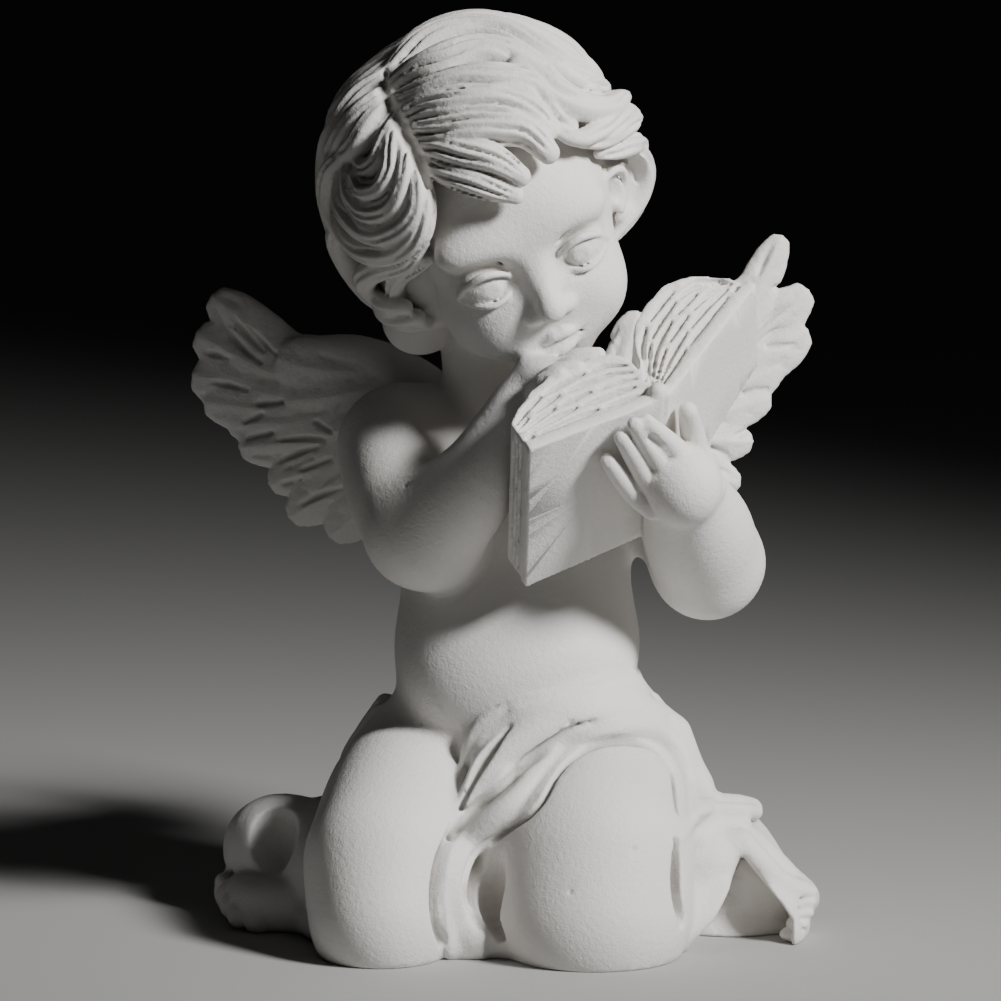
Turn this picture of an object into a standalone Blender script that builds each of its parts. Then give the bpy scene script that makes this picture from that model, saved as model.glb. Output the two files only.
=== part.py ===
"""A kneeling winged child reading an open book, cast as one solid.

The figure faces -Y and stands on Z = 0. Its forms are drawn in millimetres, DRAWN_HEIGHT tall, and
scaled by UNIT. They are built up like clay from balls and tapering limbs, fused into one skin with
a voxel remesh, eased, and cut flat underneath. "Right" and "left" are the figure's own.
"""

import math

import bmesh
import bpy
from mathutils import Matrix, Vector

HEIGHT = 0.150
DRAWN_HEIGHT = 147.0
UNIT = HEIGHT / DRAWN_HEIGHT
NAME = "cherub_statuette"

BODY_VOXEL = 1.2
BODY_EASE = 24  # rounds of easing, which melt the limbs into the trunk
DETAIL_VOXEL = 0.85
DETAIL_EASE = 2
TRIANGLES = 9300
SHARP_ANGLE = math.radians(40)

HEAD_CENTRE = Vector((-0.5, -9.0, 116.0))
HEAD_TURN = (22.0, 14.0, -24.0)  # yaw to its left, nod down, lean to its right, in degrees
SKULL_CENTRE = Vector((0.0, 3.0, 5.0))
SKULL = Vector((21.5, 23.5, 20.5))

WING_ROOT = Vector((9.0, 13.0, 78.0))
WING_SWEEP = 0.14  # how far the wing runs back for each millimetre outwards
WING_LIFT = {-1: 0.0, 1: 11.0}  # degrees that each wing is raised, right wing first
FEATHER_THICK = 1.7

SPINE_HEAD = Vector((23.1, -36.0, 89.5))
SPINE_TAIL = Vector((21.8, -16.0, 66.5))
COVERS = {
    "right_hand": (Vector((3.6, -44.0, 83.0)), Vector((2.5, -23.0, 58.8))),
    "left_hand": (Vector((39.3, -17.0, 105.3)), Vector((38.8, -5.0, 91.5))),
}
BOARD = 1.9
FORE_EDGE = 4.2
PAGE_ARCH = 8.0
PAGE_INSET = 0.04  # how far the pages stay inside the boards, as a share of the board


# ---------------------------------------------------------------- clay


def ball(clay, centre, radii, frame=None):
    """An ellipsoid, in a frame's own directions where one is given."""
    if not hasattr(radii, "__len__"):
        radii = (radii, radii, radii)
    place = Matrix.Translation(Vector(centre)) @ Matrix.Diagonal((*radii, 1.0))
    matrix = Matrix.Scale(UNIT, 4) @ (frame or Matrix.Identity(4)) @ place
    bmesh.ops.create_icosphere(clay, subdivisions=3, radius=1.0, matrix=matrix)


def limb(clay, stations, frame=None):
    """A round form through stations (x, y, z, radius), with a ball at each end."""
    frame = frame or Matrix.Identity(4)
    curve = bpy.data.curves.new("limb", "CURVE")
    curve.dimensions = "3D"
    curve.bevel_depth = 1.0
    curve.bevel_resolution = 3
    curve.resolution_u = 5
    curve.use_fill_caps = True
    spline = curve.splines.new("BEZIER")
    spline.bezier_points.add(len(stations) - 1)
    for point, (x, y, z, radius) in zip(spline.bezier_points, stations):
        point.co = frame @ Vector((x, y, z)) * UNIT
        point.radius = radius * UNIT
        point.handle_left_type = point.handle_right_type = "AUTO"
    tube = bpy.data.objects.new("limb", curve)
    bpy.context.scene.collection.objects.link(tube)
    graph = bpy.context.evaluated_depsgraph_get()
    mesh = bpy.data.meshes.new_from_object(tube.evaluated_get(graph))
    whole = bmesh.new()
    whole.from_mesh(mesh)
    bmesh.ops.remove_doubles(whole, verts=whole.verts, dist=1e-6)
    whole.to_mesh(mesh)
    whole.free()
    clay.from_mesh(mesh)
    bpy.data.meshes.remove(mesh)
    bpy.data.objects.remove(tube)
    bpy.data.curves.remove(curve)
    for x, y, z, radius in (stations[0], stations[-1]):
        ball(clay, frame @ Vector((x, y, z)), radius)


def loft(clay, first, last):
    """A closed block between two outlines of the same number of points."""
    ends = [[clay.verts.new(point * UNIT) for point in outline] for outline in (first, last)]
    faces = [clay.faces.new(ends[0]), clay.faces.new(reversed(ends[1]))]
    for i in range(len(first)):
        j = (i + 1) % len(first)
        faces.append(clay.faces.new((ends[0][j], ends[0][i], ends[1][i], ends[1][j])))
    bmesh.ops.recalc_face_normals(clay, faces=faces)


def fuse(name, clay, voxel, ease):
    """One skin around all the overlapping clay, with its creases eased."""
    mesh = bpy.data.meshes.new(name)
    clay.to_mesh(mesh)
    clay.free()
    skin = bpy.data.objects.new(name, mesh)
    bpy.context.scene.collection.objects.link(skin)
    remesh = skin.modifiers.new("Fuse", "REMESH")
    remesh.mode = "VOXEL"
    remesh.voxel_size = voxel * UNIT
    smooth = skin.modifiers.new("Ease", "SMOOTH")
    smooth.iterations = ease
    return skin


def settle(skin):
    """Replaces an object by its evaluated mesh, and returns that mesh."""
    graph = bpy.context.evaluated_depsgraph_get()
    mesh = bpy.data.meshes.new_from_object(skin.evaluated_get(graph))
    source = skin.data
    bpy.data.objects.remove(skin)
    bpy.data.meshes.remove(source)
    return mesh


# ---------------------------------------------------------------- body


def add_torso(clay):
    ball(clay, (0, 5, 27), (20.5, 16, 15))
    ball(clay, (1.8, 0, 46), (19.3, 15.5, 16))
    ball(clay, (1.5, 4, 64), (18.5, 13, 17))
    ball(clay, (1, 5, 74), (20, 10, 9))
    limb(clay, [(0.5, 6, 76, 10.5), (-0.5, 2, 86, 9), (-1.5, -2, 96, 9)])
    for side in (-1, 1):
        ball(clay, (1 + side * 10, 16, 20), (12.5, 13, 14))


def add_thighs(clay):
    limb(clay, [(-13, 5, 20, 14.4), (-17, -9, 19, 15), (-20, -22.5, 13.5, 13.6)])
    ball(clay, (-20.4, -25, 6.5), (12.4, 13.4, 12.6))
    limb(clay, [(14, 6, 24, 15), (14, -8, 19, 15.8), (13.6, -22, 14.5, 15.8)])
    ball(clay, (13.8, -25.5, 6.5), (15, 15.2, 14))


def add_upper_arms(clay):
    limb(clay, [(-16.5, 3, 76.5, 10.4), (-15.5, -6, 70, 9.6), (-13, -12.5, 64, 8.8)])
    limb(clay, [(18.5, 5, 76, 9.6), (27, 0, 68, 8.6), (32, -7.5, 59.5, 8.2)])


def add_shins(clay):
    limb(clay, [(-20, -20, 8.5, 8.5), (-28, -2, 8.5, 8.5), (-35, 12, 8, 7.5)])
    limb(clay, [(15, -20, 8.5, 8.5), (26, -4, 9, 8.5), (33, 6, 9, 8)])
    ball(clay, (0, -8, 2), (34, 22, 7))


# ---------------------------------------------------------------- arms and hands


def add_forearms(clay):
    limb(clay, [(-12, -14, 63.5, 8.8), (-5.2, -19.5, 74, 6.6), (-0.5, -22.5, 84, 4.3), (2, -24, 89, 4.2)])
    limb(clay, [(32, -8, 59.5, 8.3), (30, -15.5, 65.5, 8.6), (28, -24, 71, 6.6), (26.5, -31, 75.5, 5.4)])


def add_right_hand(clay):
    """Its back is up and its fingers lie on the top of the page, under the chin."""
    ball(clay, (5.5, -25, 91.5), (5.4, 4.6, 4.0))
    for i in range(4):
        limb(clay, [(6.5 + i, -27.5 + 2.2 * i, 93, 1.9), (12 + i, -28.5 + 2.4 * i, 96 - 0.5 * i, 1.7)])


def add_left_hand(clay):
    """It carries the spine of the book: four fingers on one cover and the thumb on the other."""
    ball(clay, (26, -34, 75.5), (6.4, 4.8, 6.8))
    for i, tip in enumerate([(21.2, -39.8, 86), (18.8, -39.4, 85), (16.6, -38.6, 82.4), (15, -37.6, 78.6)]):
        root = Vector((27 - 1.8 * i, -38.2 + 2 * i, 79.4 - 2 * i))
        bend = (root + Vector(tip)) / 2 + Vector((-0.4, -1.4, 0.4))
        limb(clay, [(*root, 2.2), (*bend, 2.0), (*tip, 1.6)])
    limb(clay, [(30, -34.5, 77, 2.8), (30, -36.5, 82.5, 2.3), (28.4, -35.5, 87, 1.8)])


# ---------------------------------------------------------------- head


def head_frame():
    """Its x runs to the figure's left, its y to the back of the head, its z to the crown."""
    yaw, nod, lean = (math.radians(angle) for angle in HEAD_TURN)
    turn = Matrix.Rotation(yaw, 4, "Z") @ Matrix.Rotation(nod, 4, "X") @ Matrix.Rotation(lean, 4, "Y")
    return Matrix.Translation(HEAD_CENTRE) @ turn


def add_face(clay, frame):
    ball(clay, SKULL_CENTRE, SKULL, frame)
    ball(clay, (0, -4, -6), (16.5, 17.5, 17), frame)
    ball(clay, (0, -15.2, -18.3), (5.6, 4.6, 4.4), frame)
    for side in (-1, 1):
        ball(clay, (side * 8.6, -11.8, -10.8), (8.4, 8.2, 8.4), frame)


def add_features(clay, frame):
    limb(clay, [(0, -19.8, -1.5, 1.7), (0, -21.6, -6, 1.8), (0, -23.2, -9, 2.2)], frame)
    limb(clay, [(-4.2, -19.6, -14.6, 0.8), (0, -21.2, -14.0, 1.3), (4.2, -19.6, -14.6, 0.8)], frame)
    limb(clay, [(-3, -19.4, -16.2, 0.9), (0, -20.4, -16.6, 1.4), (3, -19.4, -16.2, 0.9)], frame)
    for side in (-1, 1):
        ball(clay, (side * 2.5, -20.8, -9.8), 1.8, frame)
        ball(clay, (side * 7.6, -15.7, -3.0), (3.8, 3.6, 3.0), frame)
        brow = [(side * 3.4, -19.6, 1.2, 1.4), (side * 8, -18.2, 3.0, 1.5), (side * 12, -14.4, 1.0, 1.2)]
        limb(clay, brow, frame)


def scalp(azimuth, elevation, lift):
    """A point above the skull: azimuth from the face to its left, elevation upwards, in degrees."""
    a, e = math.radians(azimuth), math.radians(elevation)
    way = Vector((math.cos(e) * math.sin(a), -math.cos(e) * math.cos(a), math.sin(e)))
    radii = SKULL + Vector((lift, lift, lift))
    return SKULL_CENTRE + Vector((way.x * radii.x, way.y * radii.y, way.z * radii.z))


def add_lock(clay, frame, stations):
    """A lock of hair through stations (azimuth, elevation, lift, radius)."""
    limb(clay, [(*scalp(a, e, lift), radius) for a, e, lift, radius in stations], frame)


def add_hair(clay, frame):
    ball(clay, (0, 6.5, 6.0), (23.3, 23.3, 22.0), frame)
    ball(clay, (0, 10, -9), (17, 15, 13), frame)
    swept = [
        [(-150, 58, 1, 2.6), (170, 66, 1.6, 3.2), (130, 62, 1.8, 3.4), (105, 48, 1.8, 3.2),
         (92, 30, 1.8, 2.8)],
        [(-112, 65, 1, 2.4), (-170, 79, 1.8, 3.2), (110, 71, 2, 3.4), (72, 54, 2, 3.4),
         (60, 38, 2, 3.2), (68, 20, 2.4, 2.8)],
        [(-95, 66, 1, 2.4), (-40, 78, 1.8, 3.2), (35, 73, 2, 3.4), (45, 56, 2, 3.4),
         (42, 40, 2, 3.2), (52, 22, 2.4, 2.6)],
        [(-70, 61, 1, 2.4), (-30, 65, 1.8, 3.2), (9, 59, 2, 3.4), (27, 47, 2, 3.2),
         (33, 33, 2, 2.6), (38, 22, 2, 1.8)],
        [(-58, 55, 1, 2.4), (-24, 56, 1.8, 3.2), (4, 49, 2, 3.2), (18, 39, 2, 2.8), (24, 25, 2.2, 2)],
        [(-50, 48, 1, 2.4), (-26, 46, 1.8, 3.2), (-2, 40, 2, 3.2), (12, 32, 2, 2.8), (14, 19, 2.2, 2)],
        [(-46, 41, 1, 2.2), (-30, 36, 1.8, 3), (-13, 28, 2, 2.8), (-2, 17, 2.2, 2)],
        [(-43, 33, 0.8, 2), (-34, 28, 1.4, 2.6), (-20, 19, 1.8, 2.6), (-7, 11, 2, 1.8)],
    ]
    fallen = [
        [(-150, 57, 1, 2.4), (-138, 48, 1.8, 3.2), (-126, 36, 2, 3.2), (-118, 20, 1.8, 2.4)],
        [(-86, 62, 1, 2.4), (-96, 49, 1.8, 3.2), (-109, 34, 2, 3.4), (-114, 16, 2, 2.6)],
        [(-64, 53, 1, 2.2), (-62, 39, 1.8, 3), (-72, 28, 2.2, 3.2), (-88, 23, 2, 2.8), (-102, 26, 1.5, 2)],
        [(-51, 43, 1, 2.2), (-51, 31, 1.8, 2.8), (-59, 19, 2.2, 3), (-76, 13, 2.2, 3), (-98, 15, 2, 2.4)],
        [(-45, 33, 0.8, 2), (-48, 20, 1.6, 2.8), (-58, 8, 2, 3), (-76, 3, 2.2, 3), (-100, 5, 2, 2.6)],
        [(-44, 20, 0.5, 1.8), (-50, 7, 1.2, 2.6), (-62, -2, 1.8, 2.8), (-82, -6, 2.2, 3),
         (-102, -4, 2, 2.6)],
        [(-52, -2, 0.2, 1.6), (-64, -12, 1, 2.6), (-80, -17, 2, 3), (-98, -14, 2.5, 3)],
    ]
    curls = [
        ((-24, 12, -4), 5), ((-22.5, 6.5, -10), 5), ((-20.5, 4, -15), 5.4), ((-17, 10, -18), 5.4),
        ((22.5, -1, 5.5), 3.6), ((24.8, -1.5, 3.6), 2.6), ((22, 5, -3), 4), ((18.5, 4, -11), 4),
    ]
    ears = [((20.5, 2, -5.5), 3), ((-20.5, 2, -5.5), 3)]
    for stations in swept + fallen:
        add_lock(clay, frame, stations)
    for place, radius in curls + ears:
        ball(clay, place, radius, frame)
    for azimuth in range(118, 251, 15):  # the back of the head
        wave = [(azimuth - 4, 64, 1.6, 2.4), (azimuth + 6, 44, 2.2, 3), (azimuth - 6, 20, 2.6, 3.2),
                (azimuth + 6, -6, 2.6, 3.2), (azimuth - 4, -30, 2.2, 3), (azimuth + 4, -46, 0.5, 2.4)]
        add_lock(clay, frame, wave)


# ---------------------------------------------------------------- wings


def wing_point(side, out, up, back=0.0):
    """A point of the wing, out and up from where it leaves the shoulder blade."""
    lift = math.radians(WING_LIFT[side])
    x = out * math.cos(lift) - up * math.sin(lift)
    z = out * math.sin(lift) + up * math.cos(lift)
    return WING_ROOT * Vector((side, 1, 1)) + Vector((side * x, back + WING_SWEEP * out, z))


def add_feather(clay, side, base, tip, width, back):
    start, end = wing_point(side, *base, back), wing_point(side, *tip, back)
    along = (end - start).normalized()
    across = along.cross(Vector((0, 1, 0))).normalized()
    frame = Matrix((along, across, along.cross(across))).transposed().to_4x4()
    frame.translation = (start + end) / 2
    ball(clay, (0, 0, 0), ((end - start).length / 2 + 1.5, width / 2, FEATHER_THICK), frame)


def add_wing(clay, side):
    primaries = [
        ((17, 12), (38.5, 22.5), 10.5), ((16, 10), (42, 13), 10), ((14, 8), (41, 5), 10),
        ((11, 5), (34.5, -1.5), 10), ((8, 2), (29, -8), 9.5), ((5, -1), (25, -14), 9),
        ((2, -3), (18.5, -17.5), 9),
    ]
    coverts = [
        ((14, 13), (31, 17), 9), ((12, 10), (31, 10), 9), ((9, 7), (27, 4), 9),
        ((6, 4), (21, -1.5), 9), ((3, 1), (15.5, -6.5), 9),
    ]
    for i, (base, tip, width) in enumerate(primaries):
        add_feather(clay, side, base, tip, width, back=0.25 * i)
    for face in (-1.5, 1.9):
        for base, tip, width in coverts:
            add_feather(clay, side, base, tip, width, back=face)
    stations = [((-3, 0), 4.6), ((6, 8.5), 4.0), ((15, 14.5), 3.4), ((25, 17.5), 2.4)]
    limb(clay, [(*wing_point(side, *place), radius) for place, radius in stations])


# ---------------------------------------------------------------- book


def page_outline(spine, fore, normal):
    """A half of the book seen from its end: flat on the cover, arched over the pages."""
    steps = 8
    outline = [spine, fore]
    for i in range(steps + 1):
        across = i / steps
        from_spine = 1 - across
        rise = FORE_EDGE * from_spine ** 0.35 + PAGE_ARCH * math.sin(math.pi * from_spine ** 0.62)
        outline.append(fore.lerp(spine, across) + normal * rise)
    return outline


def add_book(clay):
    height = SPINE_TAIL - SPINE_HEAD
    for fore_head, fore_tail in COVERS.values():
        normal = (fore_head - SPINE_HEAD).cross(height).normalized()
        normal *= 1 if normal.y > 0 else -1
        board_head = [SPINE_HEAD, fore_head, fore_head - normal * BOARD, SPINE_HEAD - normal * BOARD]
        board_tail = [SPINE_TAIL, fore_tail, fore_tail - normal * BOARD, SPINE_TAIL - normal * BOARD]
        loft(clay, board_head, board_tail)
        spine = [SPINE_HEAD.lerp(SPINE_TAIL, share) for share in (PAGE_INSET, 1 - PAGE_INSET)]
        fore = [fore_head.lerp(fore_tail, share) for share in (PAGE_INSET, 1 - PAGE_INSET)]
        fore = [edge.lerp(back, PAGE_INSET) for edge, back in zip(fore, spine)]
        loft(clay, page_outline(spine[0], fore[0], normal), page_outline(spine[1], fore[1], normal))
    limb(clay, [(*SPINE_HEAD, 1.6), (*SPINE_TAIL, 1.6)])


# ---------------------------------------------------------------- drapery and feet


def add_drapery(clay):
    folds = [
        [(-3.5, -17, 36, 1.6), (8, -16.5, 38.5, 2.4), (19, -7, 40, 2.6), (21.5, 6, 38, 2.6), (16, 18, 36, 3),
         (0, 22, 34, 3), (-14, 18, 33, 3), (-19, 8, 32, 2)],
        [(26.5, 4, 30, 3), (24.5, -6, 33, 3), (14, -15, 35, 3), (2, -19, 30, 2.8), (-4, -21, 24, 2.6),
         (-6.5, -23, 17, 2)],
        [(30.5, -6, 19, 3), (28.5, -10, 26, 2.4), (21, -16.5, 30.5, 2.2), (10, -21, 28.5, 2.2),
         (1, -26, 20, 2.4), (-6.5, -30, 12.5, 2.4), (-8, -31, 6, 2.2), (-2, -32, 1.5, 2)],
    ]
    for stations in folds:
        limb(clay, stations)
    ball(clay, (1, -20, 17), (7, 8, 12))
    ball(clay, (1, -22, 7), (9, 9, 8))
    ball(clay, (1, 16, 20), (23, 15, 18))
    ball(clay, (1, 16, 4), (30, 18, 8))
    for i in range(9):
        turn = math.radians(-80 + 20 * i)
        reach = Vector((math.sin(turn), math.cos(turn), 0))
        top = Vector((1 + 18 * reach.x, 6 + 14 * reach.y, 31))
        low = Vector((1 + 27 * reach.x, 12 + 19.5 * reach.y, 1))
        swell = (top + low) / 2 + reach * 2.5
        limb(clay, [(*top, 1.8), (*swell, 2.4), (*low, 3.4)])


def add_right_foot(clay):
    """Turned out and half hidden by the shin, with its sole drawn in."""
    limb(clay, [(-30, 2, 10, 9), (-38, 8, 10.5, 9), (-41, 14, 8, 7)])
    limb(clay, [(-30, -6, 3, 5), (-39, -5, 3.5, 4.5), (-43.5, 6, 3.5, 4)])
    ball(clay, (-34, 16, 11), (9, 9, 10))
    for i in range(5):
        ball(clay, (-45.5 + 0.7 * i, 14 - 2.4 * i, 7 - 1.1 * i), 1.9)


def add_left_foot(clay):
    """It comes out from under the hem and spreads flat to its toes."""
    ball(clay, (33, -2, 9), (11, 14, 11))
    limb(clay, [(31, -16, 2, 9), (38, -16, 2, 8.4), (43.5, -11, 2, 5)])
    limb(clay, [(38, -1, 10, 6.4), (44, 0, 7, 5.2), (47.5, 1, 4, 3.6)])
    limb(clay, [(29.5, -13, 10, 1.8), (31, -11, 16.5, 2), (36, -7, 19, 2.2), (41, -3, 17.5, 2)])
    for i in range(5):
        ball(clay, (48.6 - 0.9 * i, 1.5 - 4.2 * i, 6 - 1.1 * i), 2.1)


# ---------------------------------------------------------------- the casting


def cut_flat(skin, cutters):
    """Takes off what lies below Z = 0, so that the figure rests on a flat underside."""
    size = Vector((3, 3, 0.7)) * HEIGHT
    bpy.ops.mesh.primitive_cube_add(size=1.0, location=(0, 0, -size.z / 2))
    ground = bpy.context.object
    ground.name = "ground"
    ground.scale = size
    ground.hide_render = True
    ground.display_type = "WIRE"
    for home in ground.users_collection:
        home.objects.unlink(ground)
    cutters.objects.link(ground)
    cut = skin.modifiers.new("Underside", "BOOLEAN")
    cut.operation = "DIFFERENCE"
    cut.object = ground


def centre(mesh):
    """Puts the middle of the mesh's outline on the Z axis, at its full height."""
    low = Vector([min(vertex.co[axis] for vertex in mesh.vertices) for axis in range(3)])
    high = Vector([max(vertex.co[axis] for vertex in mesh.vertices) for axis in range(3)])
    middle = (low + high) / 2
    mesh.transform(Matrix.Scale(HEIGHT / high.z, 4) @ Matrix.Translation((-middle.x, -middle.y, 0)))


def plaster():
    material = bpy.data.materials.new("plaster")
    material.use_nodes = True
    shader = material.node_tree.nodes["Principled BSDF"]
    shader.inputs["Base Color"].default_value = (0.76, 0.74, 0.72, 1)
    shader.inputs["Roughness"].default_value = 0.6
    shader.inputs["Metallic"].default_value = 0.0
    return material


def main():
    for old in list(bpy.data.objects):
        bpy.data.objects.remove(old)
    homes = {}
    for name in (NAME, "cutters"):
        homes[name] = bpy.data.collections.new(name)
        bpy.context.scene.collection.children.link(homes[name])

    frame = head_frame()
    body = bmesh.new()
    add_torso(body)
    add_thighs(body)
    add_upper_arms(body)
    add_shins(body)
    add_face(body, frame)
    soft = settle(fuse("body", body, BODY_VOXEL, BODY_EASE))

    clay = bmesh.new()
    clay.from_mesh(soft)
    bpy.data.meshes.remove(soft)
    add_forearms(clay)
    add_right_hand(clay)
    add_left_hand(clay)
    add_features(clay, frame)
    add_hair(clay, frame)
    for side in (-1, 1):
        add_wing(clay, side)
    add_book(clay)
    add_drapery(clay)
    add_right_foot(clay)
    add_left_foot(clay)
    mesh = settle(fuse("detail", clay, DETAIL_VOXEL, DETAIL_EASE))

    cast = bpy.data.objects.new("cast", mesh)
    bpy.context.scene.collection.objects.link(cast)
    thin = cast.modifiers.new("Thin", "DECIMATE")
    thin.ratio = TRIANGLES / (2 * len(mesh.polygons))
    cut_flat(cast, homes["cutters"])
    mesh = settle(cast)
    centre(mesh)
    mesh.name = NAME
    mesh.materials.clear()
    mesh.materials.append(plaster())
    mesh.shade_smooth()
    mesh.set_sharp_from_angle(angle=SHARP_ANGLE)
    homes[NAME].objects.link(bpy.data.objects.new(NAME, mesh))


main()
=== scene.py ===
import math
import random

import bpy
import numpy as np
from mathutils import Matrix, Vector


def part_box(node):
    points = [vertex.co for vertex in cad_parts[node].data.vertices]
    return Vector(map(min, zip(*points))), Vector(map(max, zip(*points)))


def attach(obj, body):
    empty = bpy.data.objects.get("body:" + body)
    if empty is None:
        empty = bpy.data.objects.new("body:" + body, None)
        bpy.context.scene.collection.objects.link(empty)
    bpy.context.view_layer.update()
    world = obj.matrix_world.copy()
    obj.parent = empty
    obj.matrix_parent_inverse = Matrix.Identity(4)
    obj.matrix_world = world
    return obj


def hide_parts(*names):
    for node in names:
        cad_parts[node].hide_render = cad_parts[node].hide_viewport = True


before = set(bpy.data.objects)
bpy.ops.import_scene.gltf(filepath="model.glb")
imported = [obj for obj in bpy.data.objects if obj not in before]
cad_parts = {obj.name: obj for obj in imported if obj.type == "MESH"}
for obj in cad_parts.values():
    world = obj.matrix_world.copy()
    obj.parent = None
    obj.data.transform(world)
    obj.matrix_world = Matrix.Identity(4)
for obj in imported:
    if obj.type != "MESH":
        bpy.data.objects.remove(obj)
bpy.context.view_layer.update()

import openvdb
from mathutils import Matrix, Vector

# The figure is modelled as clay in drawn millimetres, about 147 tall, and scaled to the frame at the end.
# It faces -Y. "Right" and "left" are the figure's own, so its right is -X.
block = {
    "low": (-54.0, -47.0, -2.0),
    "high": (53.5, 40.0, 149.0),
    "step": 0.33,  # grid spacing of the clay
    "reach": 8.0,  # distances beyond this aren't kept
    "triangles": 192000,
    "grooveReach": 3,  # cells around a point that tell whether it is in a groove
    "middle": (1, 8),  # of the trunk, seen from above
}


def unit(vector):
    vector = np.asarray(vector, float)
    return vector / max(np.linalg.norm(vector), 1e-9)


class Clay:
    # Signed distance to the skin at each point of a grid: below zero is inside.
    def __init__(self, low, high, step, reach):
        self.low = np.array(low, float)
        self.step = step
        counts = [int(math.ceil((b - a) / step)) + 1 for a, b in zip(low, high)]
        self.skin = np.full(counts, reach, np.float32)

    def window(self, low, high):
        first = [max(0, int(math.floor((a - o) / self.step))) for a, o in zip(low, self.low)]
        last = [int(math.ceil((b - o) / self.step)) + 1 for b, o in zip(high, self.low)]
        last = [max(a + 1, min(n, b)) for a, b, n in zip(first, last, self.skin.shape)]
        part = tuple(slice(a, b) for a, b in zip(first, last))
        x, y, z = (
            (o + self.step * np.arange(a, b)).astype(np.float32)
            for a, b, o in zip(first, last, self.low)
        )
        return part, x[:, None, None], y[None, :, None], z[None, None, :]

    def add(self, part, distance, blend):
        old = self.skin[part]
        mix = np.maximum(blend - np.abs(old - distance), 0)
        self.skin[part] = np.minimum(old, distance) - mix * mix / (4 * blend)

    def carve(self, part, distance, blend):
        old = self.skin[part]
        mix = np.maximum(blend - np.abs(old + distance), 0)
        self.skin[part] = np.maximum(old, -distance) + mix * mix / (4 * blend)


clay = Clay(block["low"], block["high"], block["step"], block["reach"])
straight = np.eye(3)


def ball(centre, radii, blend=1.0, turn=straight, carve=False):
    # an ellipsoid whose own axes are the columns of turn
    radii = np.array(radii if hasattr(radii, "__len__") else (radii,) * 3, float)
    span = np.sqrt(((turn * radii) ** 2).sum(axis=1)) + blend + 1
    part, x, y, z = clay.window(np.array(centre) - span, np.array(centre) + span)
    x, y, z = x - centre[0], y - centre[1], z - centre[2]
    own = [turn[0, i] * x + turn[1, i] * y + turn[2, i] * z for i in range(3)]
    near = sum((v / r) ** 2 for v, r in zip(own, radii))
    far = sum((v / r ** 2) ** 2 for v, r in zip(own, radii))
    near = np.sqrt(near)
    distance = near * (near - 1) / np.sqrt(np.maximum(far, 1e-9))
    (clay.carve if carve else clay.add)(part, distance, blend)


def curved(a, b, c, d, t):
    # a Catmull-Rom curve from b to c
    bend, twist = 2 * a - 5 * b + 4 * c - d, 3 * b - a - 3 * c + d
    return 0.5 * (2 * b + (c - a) * t + bend * t * t + twist * t ** 3)


def smoothPath(points, spacing):
    # a curve through rows of numbers, of which the first three are the place
    points = np.asarray(points, float)
    ends = np.vstack([2 * points[0] - points[1], points, 2 * points[-1] - points[-2]])
    rows = []
    for i in range(1, len(ends) - 2):
        a, b, c, d = ends[i - 1:i + 3]
        count = max(2, int(math.ceil(np.linalg.norm(c[:3] - b[:3]) / spacing)))
        rows += [curved(a, b, c, d, k / count) for k in range(count)]
    rows.append(points[-1])
    return np.array(rows)


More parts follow.
